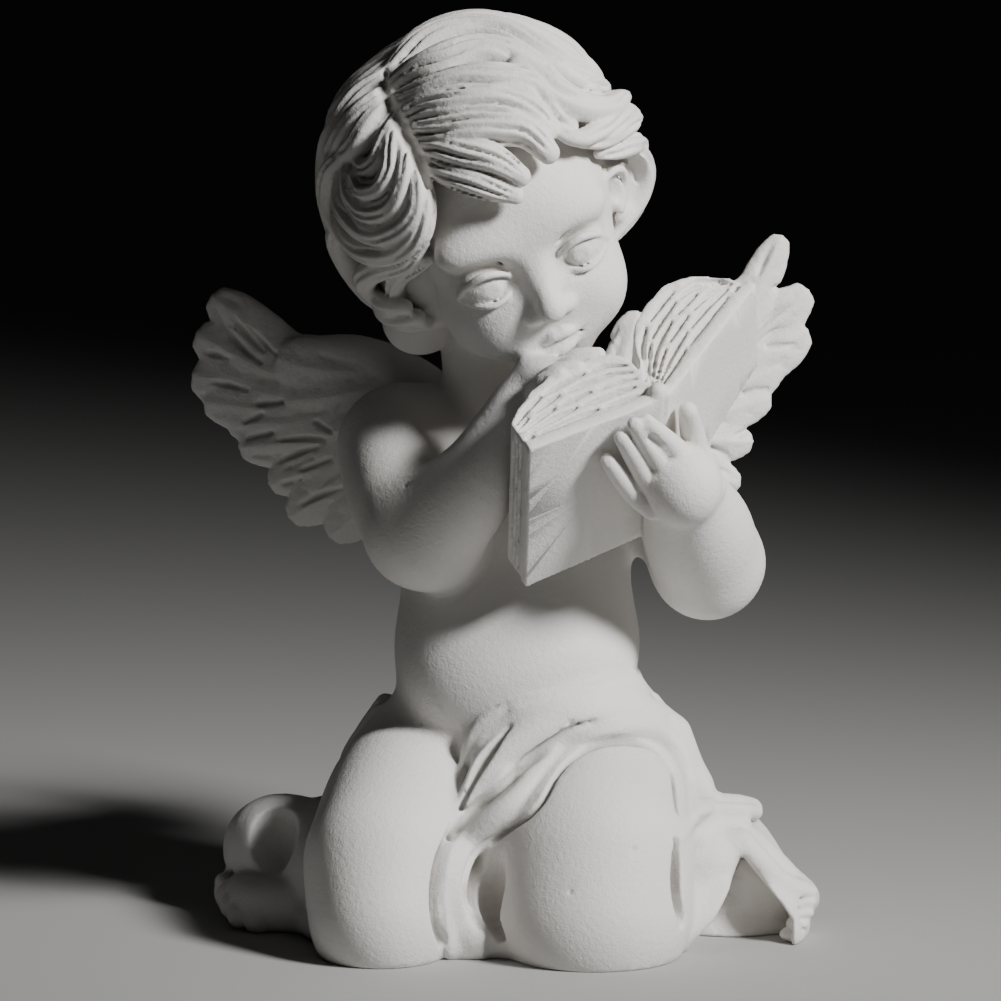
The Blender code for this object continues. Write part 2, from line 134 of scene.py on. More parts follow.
def roll(rows, blend=1.0, facing=None, detail=None, carve=False, spacing=1.6):
    # a form swept along rows of x, y, z, half width and, if it is flat, half thickness
    path = smoothPath(rows, spacing)
    wide = np.maximum(path[:, 3], 0.08)
    thick = np.maximum(path[:, 4], 0.08) if path.shape[1] > 4 else wide
    path = path[:, :3]
    last = len(path) - 1
    along = np.array([unit(path[min(i + 1, last)] - path[max(i - 1, 0)]) for i in range(last + 1)])
    normal = []
    for place, way in zip(path, along):
        up = facing(place) if callable(facing) else facing
        up = np.array((0.3, -0.2, 0.93)) if up is None else np.asarray(up, float)
        normal.append(unit(up - way * np.dot(up, way)))
    normal = np.array(normal)
    across = np.cross(along, normal)
    steps = np.linalg.norm(np.diff(path, axis=0), axis=1)
    travelled = np.concatenate([[0], np.cumsum(steps)])
    pad = wide.max() + blend + 1
    whole, *axes = clay.window(path.min(axis=0) - pad, path.max(axis=0) + pad)
    shape = clay.skin[whole].shape
    best = np.full(shape, 50.0, np.float32)
    if detail:
        bestAcross, bestOut, bestAlong = (np.zeros(shape, np.float32) for _ in range(3))
    for i in range(last):
        margin = max(*wide[i:i + 2], *thick[i:i + 2]) + blend + 0.8
        low, high = np.minimum(path[i], path[i + 1]) - margin, np.maximum(path[i], path[i + 1]) + margin
        inner = []
        for axis, a, b in zip(axes, low, high):
            flat = axis.ravel()
            inner.append(slice(int(np.searchsorted(flat, a)), int(np.searchsorted(flat, b)) + 1))
        inner = tuple(inner)
        if any(s.stop - s.start < 2 for s in inner):
            continue
        x, y, z = (axis.ravel()[s] - p for axis, s, p in zip(axes, inner, path[i]))
        x, y, z = x[:, None, None], y[None, :, None], z[None, None, :]
        step = path[i + 1] - path[i]
        t = np.clip((x * step[0] + y * step[1] + z * step[2]) / max(steps[i] ** 2, 1e-9), 0, 1)
        x, y, z = x - t * step[0], y - t * step[1], z - t * step[2]
        v = sum(q * (n + t * (m - n)) for q, n, m in zip((x, y, z), normal[i], normal[i + 1]))
        u = sum(q * (n + t * (m - n)) for q, n, m in zip((x, y, z), across[i], across[i + 1]))
        rest = np.maximum(x * x + y * y + z * z - u * u - v * v, 0)
        a = wide[i] + t * (wide[i + 1] - wide[i])
        b = thick[i] + t * (thick[i + 1] - thick[i])
        c = np.minimum(a, b)
        near = np.sqrt((u / a) ** 2 + (v / b) ** 2 + rest / c ** 2)
        far = np.sqrt((u / a ** 2) ** 2 + (v / b ** 2) ** 2 + rest / c ** 4)
        distance = near * (near - 1) / np.maximum(far, 1e-6)
        old = best[inner]
        closer = distance < old
        old[closer] = distance[closer]
        if detail:
            bestAcross[inner][closer] = (u / a)[closer]
            bestOut[inner][closer] = (v / b)[closer]
            bestAlong[inner][closer] = (travelled[i] + t * steps[i])[closer]
    if detail:
        best = best + detail(bestAcross, bestOut, bestAlong, travelled[-1])
    (clay.carve if carve else clay.add)(whole, best, blend)


def slab(corner, counts, blend, carve=False):
    # a deformed box: corner(a, b, c) places its points for a, b and c from 0 to 1
    points, quads = [], []
    for fixed in range(3):
        p, q = [axis for axis in range(3) if axis != fixed]
        for end in (0.0, 1.0):
            grid = np.meshgrid(*[np.linspace(0, 1, counts[axis] + 1) for axis in (p, q)], indexing="ij")
            abc = [None] * 3
            abc[p], abc[q], abc[fixed] = grid[0].ravel(), grid[1].ravel(), np.full(grid[0].size, end)
            first = sum(len(rows) for rows in points)
            points.append(corner(*abc))
            i, j = np.meshgrid(np.arange(counts[p]), np.arange(counts[q]), indexing="ij")
            width = counts[q] + 1
            start = (first + i * width + j).ravel()
            quad = np.stack([start, start + width, start + width + 1, start + 1], axis=1)
            quads.append(quad if (end == 1.0) == (fixed != 1) else quad[:, ::-1])
    points = np.concatenate(points).astype(np.float32)
    quads = np.concatenate(quads)
    keys, same = np.unique(np.round(points, 4), axis=0, return_inverse=True)
    quads = same.reshape(-1)[quads]
    triangles = np.concatenate([quads[:, [0, 1, 2]], quads[:, [0, 2, 3]]]).astype(np.uint32)
    middle = keys.mean(axis=0)
    a, b, c = (keys[triangles[:, k]] - middle for k in range(3))
    if np.einsum("ij,ij->i", a, np.cross(b, c)).sum() < 0:
        triangles = np.ascontiguousarray(triangles[:, ::-1])
    part, *axes = clay.window(keys.min(axis=0) - blend - 1, keys.max(axis=0) + blend + 1)
    origin = [axis.ravel()[0] for axis in axes]
    band = (blend + 1) / clay.step + 2
    grid = openvdb.FloatGrid.createLevelSetFromPolygons(
        ((keys - origin) / clay.step).astype(np.float32), triangles=triangles, halfWidth=band)
    distance = np.zeros(clay.skin[part].shape, np.float32)
    grid.copyToArray(distance)
    (clay.carve if carve else clay.add)(part, distance * clay.step, blend)


def onFront(x, z):
    # where the clay comes furthest forward at x and z, and the way out of it there
    i, k = (x - clay.low[0]) / clay.step, (z - clay.low[2]) / clay.step
    a, c = int(i), int(k)
    i, k = i - a, k - c
    column = ((1 - i) * ((1 - k) * clay.skin[a, :, c] + k * clay.skin[a, :, c + 1])
              + i * ((1 - k) * clay.skin[a + 1, :, c] + k * clay.skin[a + 1, :, c + 1]))
    b = max(1, int(np.argmax(column < 0)) if column.min() < 0 else int(np.argmin(column)))
    share = np.clip(column[b - 1] / max(column[b - 1] - column[b], 1e-3), 0, 1)
    near = clay.skin[a - 1:a + 2, b - 1:b + 2, c - 1:c + 2]
    way = (near[2, 1, 1] - near[0, 1, 1], near[1, 2, 1] - near[1, 0, 1] - 1e-6, near[1, 1, 2] - near[1, 1, 0])
    return np.array((x, clay.low[1] + clay.step * (b - 1 + share), z)), unit(way)


def onBack(turn, z):
    # where a level line from the middle, at this turn from straight behind, leaves the clay
    reach = np.array((math.sin(turn), math.cos(turn), 0))
    line = np.array((*block["middle"], z)) + reach * np.arange(40, 2, -clay.step)[:, None]
    cells = np.round((line - clay.low) / clay.step).astype(int)
    cells = np.clip(cells, 0, np.array(clay.skin.shape) - 1)
    return line[int(np.argmax(clay.skin[tuple(cells.T)] < 0))]


def fromMiddle(place):
    return place - (*block["middle"], place[2])


def stroke(points, blend=0.4, raised=False):
    # a groove or a raised line on the front, along points x, z, half width and depth
    path = smoothPath([(x, 0, z, wide, deep) for x, z, wide, deep in points], 1.2)
    front = np.array([(*place, *(way + (0, -0.5, 0))) for place, way in
                      (onFront(x, z) for x, _, z, *_ in path)])
    for _ in range(3):
        front = (np.vstack([front[:1], front[:-1]]) + 2 * front + np.vstack([front[1:], front[-1:]])) / 4
    path[:, 1] = front[:, 1]

    def facing(place):
        return front[int(np.argmin(np.abs(path[:, :3] - place).sum(axis=1))), 3:]

    roll(path, blend, facing, carve=not raised, spacing=4.0)


def pit(x, z, wide, deep):
    place, way = onFront(x, z)
    ball(place + way * max(wide - deep, 0), wide, 0.25, carve=True)


body = {
    "neck": [(0.5, 6, 76, 11), (-0.5, 2, 86, 9.4), (-1.5, -2, 96, 9.2)],
    "spine": [(83, 0.4), (75, 1.6), (65, 2.2), (55, 2.2), (45, 0.6)],  # height and half width of the furrow
}


def layTrunk():
    ball((0, 5, 27), (21, 16.5, 16), 3)
    ball((1.8, 0, 46), (19.6, 16, 17), 8)
    ball((1.5, 4, 64), (18.5, 13.5, 17), 8)
    ball((1, 5, 74), (20.5, 10.5, 9), 6)
    roll(body["neck"], 5)
    for side in (-1, 1):
        ball((1 + side * 10, 16, 20), (12.5, 13, 14), 5)
    ball((1.6, -9, 41), (15.5, 9, 11), 9)  # belly
    roll([(*onBack(0, z), wide, 0.5 * wide) for z, wide in body["spine"]], 3, (0, 1, 0), carve=True)


def layThighs():
    roll([(-13, 5, 20, 14.6), (-15.4, -9, 19.2, 14.0), (-18.9, -22, 14, 12.9)], 4)
    ball((-19.4, -25, 6.5), (11.6, 13.6, 12.8), 3)
    roll([(14, 6, 24, 15), (14, -8, 19, 15.9), (13.6, -22, 14.5, 15.9)], 4)
    ball((13.8, -25.5, 6.5), (15.2, 15.4, 14), 3)
    roll([(-20, -20, 8.5, 8.5), (-28, -2, 8.5, 8.5), (-35, 12, 8, 7.5)], 2)
    roll([(15, -20, 8.5, 8.5), (26, -4, 9, 8.5), (33, 6, 9, 8)], 2)
    ball((0, -8, 2), (34, 22, 7), 2)


def layArms():
    ball((-3, -16, 88.9), (9, 6, 5.2), 1.5, carve=True)  # under the jaw
    roll([(-16.5, 3, 76.5, 10.6), (-15.5, -6, 70.5, 9.8), (-13.4, -12.5, 65.5, 9.0)], 5)
    roll([(18.5, 5, 76, 9.8), (27, 0, 68, 8.8), (32, -7.5, 59.5, 8.5)], 5)
    roll([(-12.4, -14, 65.2, 8.8), (-4.6, -21.6, 74.2, 6.8), (-0.9, -23.5, 81.5, 4.9),
          (1.6, -24.0, 86.2, 4.1), (4.4, -24.4, 90.2, 3.5)], 3)
    roll([(32, -8, 59.5, 8.6), (30, -15.5, 65.5, 8.7), (28, -24, 71, 6.7), (26.5, -31, 75.5, 5.5)], 2.5)


head = {
    "centre": (-0.5, -9.0, 116.0),
    "yaw": 22.0,
    "nod": 14.0,
    "lean": -24.0,
    "face": -7.0,  # the face looks a little less aside than the head
    "aside": -0.9,
    "skullCentre": (0.0, 3.0, 5.0),
    "skull": (21.5, 23.5, 20.5),
}
headTurn = (Matrix.Rotation(math.radians(head["yaw"]), 3, "Z")
            @ Matrix.Rotation(math.radians(head["nod"]), 3, "X")
            @ Matrix.Rotation(math.radians(head["lean"]), 3, "Y"))
headTurn = np.array(headTurn)
faceTurn = headTurn @ np.array(Matrix.Rotation(math.radians(head["face"]), 3, "Z"))
headCentre = np.array(head["centre"])
skullCentre = np.array(head["skullCentre"])
skull = np.array(head["skull"])


def onHead(*place):
    return headCentre + headTurn @ np.array(place, float)


def headBall(centre, radii, blend=1.0, turn=headTurn, **more):
    ball(headCentre + turn @ np.array(centre, float), radii, blend, turn, **more)


def headRoll(rows, blend=1.0, turn=headTurn, **more):
    roll([(*(headCentre + turn @ np.array(row[:3], float)), *row[3:]) for row in rows], blend, **more)


def faceBall(centre, *form, **more):
    headBall((centre[0] + head["aside"], *centre[1:]), *form, turn=faceTurn, **more)


def faceRoll(rows, *form, **more):
    headRoll([(row[0] + head["aside"], *row[1:]) for row in rows], *form, turn=faceTurn, **more)


def layFace():
    headBall((0, 7.5, 6), (20.5, 19.5, 19.8), 3)
    headBall((0, -1, 4.5), (17.5, 19.6, 17.5), 4)
    faceBall((0, -4.5, -6), (14.2, 16.8, 16.4), 5)
    faceBall((0, -13.6, -19.2), (5.6, 5.2, 4.6), 4)
    for side in (-1, 1):
        faceBall((side * 7.0, -11.8, -10.8), (7.4, 8.4, 8.2), 4)
        faceBall((side * 7.4, -17.2, 3.4), (6.5, 3.6, 3.2), 4)  # brow
        faceBall((side * 7.9, -22.0, -2.2), (5.0, 3.4, 3.3), 2.8, carve=True)
        faceBall((side * 7.8, -15.9, -3.0), (4.6, 4.6, 4.3), 0.4)
        faceRoll([(side * 3.3, -18.5, -3.5, 0.3), (side * 5.2, -20.5, -1.1, 0.5),
                  (side * 8, -21.0, -0.1, 0.65), (side * 10.8, -19.5, -1.3, 0.55),
                  (side * 12.7, -16.9, -3.8, 0.3)], 0.3)
        faceRoll([(side * 3.3, -18.4, -3.9, 0.25), (side * 5.4, -20.1, -5.1, 0.45),
                  (side * 8, -20.6, -5.6, 0.5), (side * 10.8, -18.9, -5.0, 0.45),
                  (side * 12.5, -16.9, -4.2, 0.25)], 0.35)
        faceRoll([(side * 4.0, -18.9, 0.0, 0.3), (side * 8, -21.1, 1.6, 0.4),
                  (side * 12.2, -17.6, -0.4, 0.3)],
                 0.3, carve=True)
        faceBall((side * 7.5, -20.1, -3.1), (1.8, 0.6, 1.8), 0.25)
        faceBall((side * 7.5, -20.9, -3.1), (0.75, 0.5, 0.75), 0.2, carve=True)
    faceRoll([(0, -18.2, 0.5, 1.6), (0, -20.6, -4, 1.6), (0, -22.7, -8.2, 2.1)], 2)
    faceBall((0, -22.6, -8.9), (2.2, 2.1, 1.9), 1)
    for side in (-1, 1):
        faceBall((side * 2.5, -20.6, -9.5), (1.7, 2.1, 1.6), 1)
        faceBall((side * 1.3, -22.0, -11.0), (0.7, 0.9, 0.6), 0.3, carve=True)
        faceRoll([(side * 3.2, -18.6, -8.4, 0.3), (side * 4.3, -19.3, -9.7, 0.35),
                  (side * 3.6, -19.4, -11.2, 0.25)], 0.5, carve=True)
    faceRoll([(0, -21.2, -11.4, 0.4), (0, -20.9, -13.0, 0.55)], 0.6, carve=True)
    faceBall((0, -17.2, -14.6), (6.6, 3.2, 4.2), 2.5)
    faceRoll([(-4.6, -18.6, -15.1, 0.35), (-2.2, -20.5, -14.4, 0.8), (-0.7, -21.2, -13.9, 0.9),
              (0, -21.1, -14.2, 0.8), (0.7, -21.2, -13.9, 0.9), (2.2, -20.5, -14.4, 0.8),
              (4.6, -18.6, -15.1, 0.35)], 0.5)
    faceRoll([(-3.8, -18.9, -15.9, 0.4), (0, -20.7, -16.6, 1.15), (3.8, -18.9, -15.9, 0.4)], 0.5)
    faceRoll([(-5.2, -18.4, -15.1, 0.25), (-2.4, -21.0, -15.3, 0.3), (0, -21.9, -15.3, 0.3),
              (2.4, -21.0, -15.3, 0.3), (5.2, -18.4, -15.1, 0.25)], 0.35, carve=True)
    faceBall((0, -20.2, -18.5), (3.2, 1.0, 0.6), 0.9, carve=True)


# A lock is a row of stations on the round of the skull: azimuth from the face to its left and elevation
# in degrees, height above the skull, half width.
hair = {
    "swept": [  # from the parting over the brow
        [(-150, 58, 1, 2.6), (170, 66, 1.8, 3.6), (130, 62, 1.8, 3.8), (105, 48, 0.8, 3.6),
         (92, 30, 0.4, 2.8)],
        [(-112, 65, 1, 2.4), (-170, 79, 2, 3.6), (110, 71, 1.6, 3.8), (72, 54, 0.8, 3.8),
         (62, 40, 1.4, 3.2), (66, 29, 2.2, 2.4), (76, 20, 2.0, 1.6)],
        [(-95, 66, 1, 2.4), (-40, 78, 2.2, 3.6), (35, 73, 2.2, 3.8), (45, 56, 1.8, 3.6), (40, 41, 2.2, 3.0),
         (46, 31, 2.4, 2.4), (60, 25, 2.4, 1.5)],
        [(-70, 61, 1, 2.4), (-30, 65, 2.0, 3.4), (9, 59, 2.6, 3.7), (27, 47, 2.8, 3.4), (28, 35, 2.6, 2.8),
         (31, 27, 2.6, 1.6)],
        [(-58, 55, 1, 2.4), (-24, 56, 2.0, 3.4), (4, 49, 2.6, 3.5), (16, 40, 2.8, 3.2), (20, 31, 2.6, 2.0)],
        [(-50, 48, 1, 2.4), (-26, 46, 2.0, 3.3), (-2, 41, 2.6, 3.4), (8, 35, 3.2, 3.0), (12, 24, 3.6, 2.0)],
        [(-46, 42, 1, 2.2), (-30, 38, 2.0, 3.1), (-14, 31, 2.8, 3.0), (-4, 21, 3.2, 1.8)],
        [(-43, 34, 0.8, 2), (-34, 30, 1.6, 2.6), (-21, 23, 2.4, 2.7), (-9, 15, 2.8, 1.5)],
    ],
    "fallen": [  # down the right side, the lower ones looped around each other
        [(-150, 57, 1, 2.4), (-138, 48, 2.0, 3.4), (-126, 36, 2.4, 3.4), (-118, 20, 2, 2.4)],
        [(-113, 66, 1, 2.4), (-108, 52, 2.4, 3.2), (-106, 38, 2.8, 3.2), (-112, 22, 2.4, 2.6)],
        [(-90, 64, 1, 2.2), (-90, 52, 2.4, 3.0), (-96, 40, 2.8, 3.0), (-106, 28, 2.6, 2.6)],
        [(-80, 60, 1, 2.0), (-80, 50, 2.2, 2.6), (-84, 40, 2.6, 2.6), (-92, 33, 2.6, 2.0)],
        [(-64, 54, 1.2, 1.6), (-64, 44, 2.2, 2.2), (-66, 36, 2.4, 2.2), (-74, 32, 2.4, 1.8),
         (-84, 34, 2.0, 1.2)],
        [(-62, 53, 1.2, 1.6), (-58, 43, 2.4, 2.0), (-57, 33, 3.0, 2.1), (-62, 26, 3.2, 2.1),
         (-71, 24, 3.2, 2.0), (-80, 28, 2.6, 1.4)],
        [(-57, 49, 1.2, 1.6), (-50, 39, 2.2, 1.9), (-50, 29, 2.7, 2.1), (-55, 21, 2.9, 2.2),
         (-63, 17, 3.0, 2.2), (-72, 16, 3.1, 2.1), (-81, 21, 3.0, 1.9), (-87, 28, 2.6, 1.4)],
        [(-49, 41, 1.0, 1.4), (-45, 31, 1.8, 1.9), (-46, 20, 2.4, 2.2), (-53, 12, 2.8, 2.3),
         (-64, 8, 3.0, 2.3), (-76, 9, 3.2, 2.2), (-88, 15, 3.2, 2.0), (-93, 24, 2.6, 1.4)],
        [(-46, 34, 0.8, 1.2), (-43, 22, 1.6, 1.8), (-47, 10, 2.2, 2.2), (-56, 3, 2.6, 2.4),
         (-68, -1, 3.0, 2.4), (-80, 0, 3.4, 2.3), (-91, 5, 3.4, 2.0), (-98, 12, 2.6, 1.4)],
        [(-88, 36, 2.0, 1.4), (-96, 28, 3.2, 2.2), (-102, 18, 3.6, 2.4), (-101, 8, 3.6, 2.2),
         (-96, -1, 3.2, 1.8)],
        [(-50, 3, 0.6, 1.2), (-58, -4, 1.8, 1.8), (-70, -8, 2.8, 2.2), (-82, -13, 3.8, 2.3),
         (-88, -20, 4.4, 2.2), (-84, -27, 4.6, 1.8)],
        [(-52, -7, 0.2, 1.0), (-60, -10, 1.2, 1.6), (-69, -15, 2.0, 1.8), (-74, -21, 2.8, 1.8),
         (-74, -27, 3.2, 1.4)],
        [(-98, 2, 3.0, 1.6), (-103, -5, 4.2, 2.2), (-105, -13, 4.6, 2.4), (-104, -21, 5.0, 2.4),
         (-98, -28, 5.2, 2.2), (-90, -33, 5.0, 1.8)],
    ],
    "knot": [  # the round curl at the nape
        [(-88, -24, 4.4, 1.2), (-78, -24, 5.0, 1.8), (-68, -25, 4.2, 1.4)],
        [(-93, -29, 5.0, 1.4), (-80, -30, 5.8, 2.1), (-66, -31, 4.4, 1.5)],
        [(-94, -35, 5.2, 1.4), (-82, -36, 5.6, 2.1), (-68, -37, 4.4, 1.5)],
    ],
    "flicks": [  # turned up over the left ear, then down behind it
        [(50, 0, 0.0, 1.0), (62, -5, 1.6, 2.0), (70, -13, 2.8, 2.2), (72, -22, 3.4, 2.2),
         (68, -31, 2.6, 2.0), (61, -38, 1.6, 1.5), (54, -44, 1.0, 0.8)],
        [(52, -6, -1.0, 1.0), (62, -12, 0.2, 1.4), (66, -20, 1.2, 1.6), (65, -28, 1.2, 1.5),
         (60, -35, 0.6, 1.1)],
        [(38, 10, 0.2, 1.0), (48, 5, 1.2, 1.7), (58, 1, 2.2, 2.0), (65, -2, 2.8, 1.6), (72, -8, 3.2, 1.2)],
        [(28, 20, 1.4, 0.8), (38, 15, 2.0, 1.5), (52, 11, 2.4, 1.8), (62, 8, 3.2, 1.7), (70, 5, 4.0, 0.8)],
        [(21, 34, 2.4, 1.0), (22, 27, 2.8, 1.5), (27, 22, 3.2, 1.7), (36, 20, 3.2, 1.8), (48, 18, 3.0, 1.9),
         (60, 14, 3.4, 1.8), (67, 8, 4.0, 0.9)],
        [(33, 57, 3.0, 2.2), (31, 41, 3.4, 3.0), (37, 30, 3.6, 2.8), (47, 24, 3.6, 2.4), (58, 20, 3.8, 2.0),
         (67, 16, 4.0, 1.1)],
    ],
    "parting": [(-110, 66, 2.6, 0.5), (-86, 62, 3.0, 0.9), (-70, 57, 3.0, 1.0), (-56, 49, 3.0, 1.0),
                (-48, 41, 3.0, 0.9), (-44, 33, 2.6, 0.8), (-43, 22, 2.0, 0.5)],
    "fillers": [  # under the locks
        ((-16, 3, -5), (7.0, 10, 10)), ((-18, 2, 9), (5.5, 11, 9)), ((-17.5, 4, -13.5), (6.2, 6.5, 5.6)),
        ((14.5, 4, -4), (5.0, 9, 9)), ((17, -3, -2), (3.0, 4, 6)),
    ],
    "wave": [  # swing of the azimuth, elevation, height, drop of it at the left side, half width
        (-4, 68, 1.6, 3.2, 2.2), (6, 46, 2.4, 4.6, 3), (-6, 20, 2.8, 5.4, 3.2), (6, -6, 2.8, 5.0, 3.2),
        (-5, -30, 3.2, 3.2, 3), (5, -47, 5.4, 4.4, 2.6), (-3, -60, 6.6, 6.0, 1.6),
    ],
    "strandDepth": 0.95,
    "flat": 0.92,
    "blend": 0.3,
    "narrow": 0.9,
    "slim": 0.15,  # how much narrower the brow is than the crown
}


def strands(count, depth, seed):
    # fine grooves that run the length of a lock on its outer side
    def grooves(u, v, t, length):
        s = (u + 1) / 2 * count + 0.12 * np.sin(t * 0.55 + seed * 2.3) + 0.35 * math.sin(seed * 5.1)
        cut = np.exp(-((s - np.round(s)) / 0.21) ** 2)
        uneven = 0.68 + 0.32 * np.sin(np.round(s) * 2.1 + t * 0.4 + seed)
        fade = np.clip((0.97 - np.abs(u)) * 8, 0, 1) * np.clip(v * 3 + 0.6, 0, 1)
        fade = fade * np.clip(t / 1.5, 0, 1) * np.clip((length - t) / 2.0, 0.15, 1)
        return depth * cut * uneven * fade
    return grooves


def scalpPath(stations, slim):
    # the stations smoothed over the round of the skull
    rows = []
    for azimuth, elevation, lift, width in stations:
        a, e = math.radians(azimuth), math.radians(elevation)
        out = 20 * math.cos(e)
        rows.append((out * math.sin(a), -out * math.cos(a), 20 * math.sin(e), lift, width))
    path = []
    for x, y, z, lift, width in smoothPath(rows, 1.5):
        place = skullCentre + unit((x, y, z)) * (skull + lift)
        place[0] *= 1 - slim * min(1, max(0, (3 - place[1]) / 26))
        path.append((*onHead(*place), width))
    return path


def outOfSkull(place):
    own = headTurn.T @ (np.asarray(place) - headCentre) - skullCentre
    return headTurn @ (own / skull ** 2)


def lock(stations, count, depth, slim, seed):
    rows = [(*row[:3], row[3] * hair["narrow"], row[3] * hair["narrow"] * hair["flat"])
            for row in scalpPath(stations, slim)]
    roll(rows, hair["blend"], outOfSkull, strands(count, depth, seed), spacing=9.0)


def layHair():
    headBall((-0.6, 8.5, 5.2), (21.4, 21.0, 21.0), 0.5)
    headBall((0, 10, -9), (17, 15, 13), 2)
    for place, radii in hair["fillers"]:
        headBall(place, radii, 1.5)
    for azimuth in range(78, 251, 13):  # waves down the left side and the back
        side = max(0, (117 - azimuth) / 39)
        wave = [(azimuth + swing, elevation, lift - drop * side, width)
                for swing, elevation, lift, drop, width in hair["wave"]]
        lock(wave, 3, hair["strandDepth"], 0, azimuth * 0.7)
    deep = hair["strandDepth"]
    for name, count, depth, slim in (("fallen", 3, 0.75 * deep, 0), ("knot", 2, 0.8 * deep, 0),
                                     ("swept", 4, deep, hair["slim"]), ("flicks", 2, 0.8 * deep, 0)):
        locks = hair[name][::-1] if name == "swept" else hair[name]
        for i, stations in enumerate(locks):
            lock(stations, count, depth, slim, i * 1.3 + count)
    roll(scalpPath(hair["parting"], hair["slim"] / 2), 0.5, carve=True)


def layEar():
    # only the left one shows, in the hollow of a lock: the hair covers the right one
    headRoll([(14.4, -12.9, 5.0, 0.9), (17.0, -11.4, 4.0, 1.5), (19.3, -9.6, 1.6, 2.0),
              (19.8, -8.6, -1.8, 2.5), (18.6, -8.6, -4.8, 2.3), (16.2, -10.2, -6.9, 1.3)], 0.4, carve=True)
    headBall((14.4, -9.4, -0.6), (2.4, 2.6, 3.7), 0.5)
    headRoll([(13.2, -12.9, 2.6, 0.5), (15.2, -12.6, 3.5, 0.6), (17.0, -11.3, 2.6, 0.65),
              (17.5, -10.2, 0.4, 0.65), (16.7, -10.0, -2.0, 0.65), (15.0, -11.0, -3.8, 0.7)], 0.3)
    headBall((15.3, -12.0, -0.2), (1.5, 1.7, 2.5), 0.3, carve=True)


# Places on a wing are (out, up): across from the figure's middle and above the ground.
wings = {
    "behind": 13.0,  # how far back a wing starts
    "sweep": 0.14,  # how much it falls back outwards
    "thick": 1.5,
    -1: {
        "feathers": [
            ((27, 84), (48.2, 100.2), 9.0), ((24, 86), (42.6, 94.2), 7.5), ((27, 83), (50.8, 94.0), 9.5),
            ((24, 82), (51.6, 87.2), 10.5), ((24, 82), (49.6, 82.6), 9), ((22, 81), (45.6, 79.4), 9),
            ((20, 80), (43.8, 75.2), 8.5), ((18, 79), (38.8, 69.2), 8), ((16, 78), (35.6, 63.8), 8.5),
            ((14, 76), (28.8, 60.8), 8.5),
        ],
        "coverts": [((24, 88), (37, 90), 10), ((20, 86), (37, 83), 10), ((18, 82), (34, 77), 9),
                    ((15, 79), (30, 71), 9), ((13, 77), (25, 66), 8)],
        "ridge": [(6, 78, 4.6), (15, 86, 4.2), (24, 90.6, 3.0), (33.5, 91.2, 1.9), (39, 91.4, 1.3)],
        "lines": [
            [(-46.6, 96.0), (-43.4, 91.9), (-39.9, 89.1)], [(-44.6, 96.8), (-41.6, 93.0), (-39.2, 90.8)],
            [(-42.0, 95.0), (-39.6, 92.4), (-37.4, 90.4)], [(-49.5, 90.8), (-47.4, 90.3), (-45.0, 89.6)],
            [(-48.4, 86.0), (-45.4, 85.4), (-41.8, 84.7)], [(-42.6, 79.5), (-39.7, 80.7)],
            [(-42.0, 76.8), (-38.2, 77.7)], [(-37.4, 76.6), (-32.0, 77.0), (-26.3, 76.3)],
            [(-37.2, 73.0), (-33.6, 74.6), (-30.5, 75.6)], [(-33.2, 71.9), (-28.5, 73.6)],
            [(-33.8, 65.9), (-30.0, 67.8), (-26.1, 69.0)], [(-30.9, 79.7), (-28.5, 78.2)],
            [(-40.2, 82.4), (-36.4, 82.8)], [(-36.2, 69.4), (-33.4, 70.2)],
        ],
    },
    1: {
        "feathers": [
            ((35, 91), (45.0, 109.8), 6.4), ((31, 87), (42, 103), 9.5), ((29, 85), (49.6, 101.0), 8.5),
            ((28, 84), (49.4, 94.4), 9.5), ((26, 82), (44.8, 88.6), 8.5), ((24, 80), (43.2, 83.4), 7.5),
            ((22, 79), (40.2, 76.2), 7.5), ((20, 78), (38.2, 69.0), 7), ((18, 77), (33, 63.6), 8),
            ((15, 75), (26, 60.4), 8), ((17, 85), (21.2, 97.6), 6.5), ((21, 87), (24.6, 99.6), 4.4),
        ],
        "coverts": [((24, 88), (37, 93), 9), ((20, 86), (36, 87), 10), ((18, 82), (34, 80), 9),
                    ((16, 79), (31, 72), 9), ((14, 77), (25, 66), 8)],
        "ridge": [(8, 78, 4.6), (16, 86, 4.2), (24, 90, 3.0), (32, 93.4, 2.4), (38, 98, 1.8)],
        "lines": [
            [(40.2, 94.1), (43.5, 96.9), (46.6, 98.6)], [(40.9, 92.2), (43.5, 94.0), (46.3, 95.1)],
            [(42.6, 91.7), (47.0, 91.9)], [(37.7, 77.3), (41.7, 78.9)], [(35.1, 72.7), (37.8, 72.4)],
            [(40.9, 103.4), (42.0, 105.9), (43.2, 108.0)], [(15.6, 91.2), (16.8, 93.2), (18.1, 95.0)],
            [(38.8, 84.2), (42.4, 84.8)], [(43.6, 101.2), (46.2, 101.8)], [(33.6, 75.4), (35.8, 74.2)],
        ],
    },
}


def onWing(side, out, up, forward=0.0):
    return np.array((side * out, wings["behind"] + wings["sweep"] * (out - 9) - forward, up))


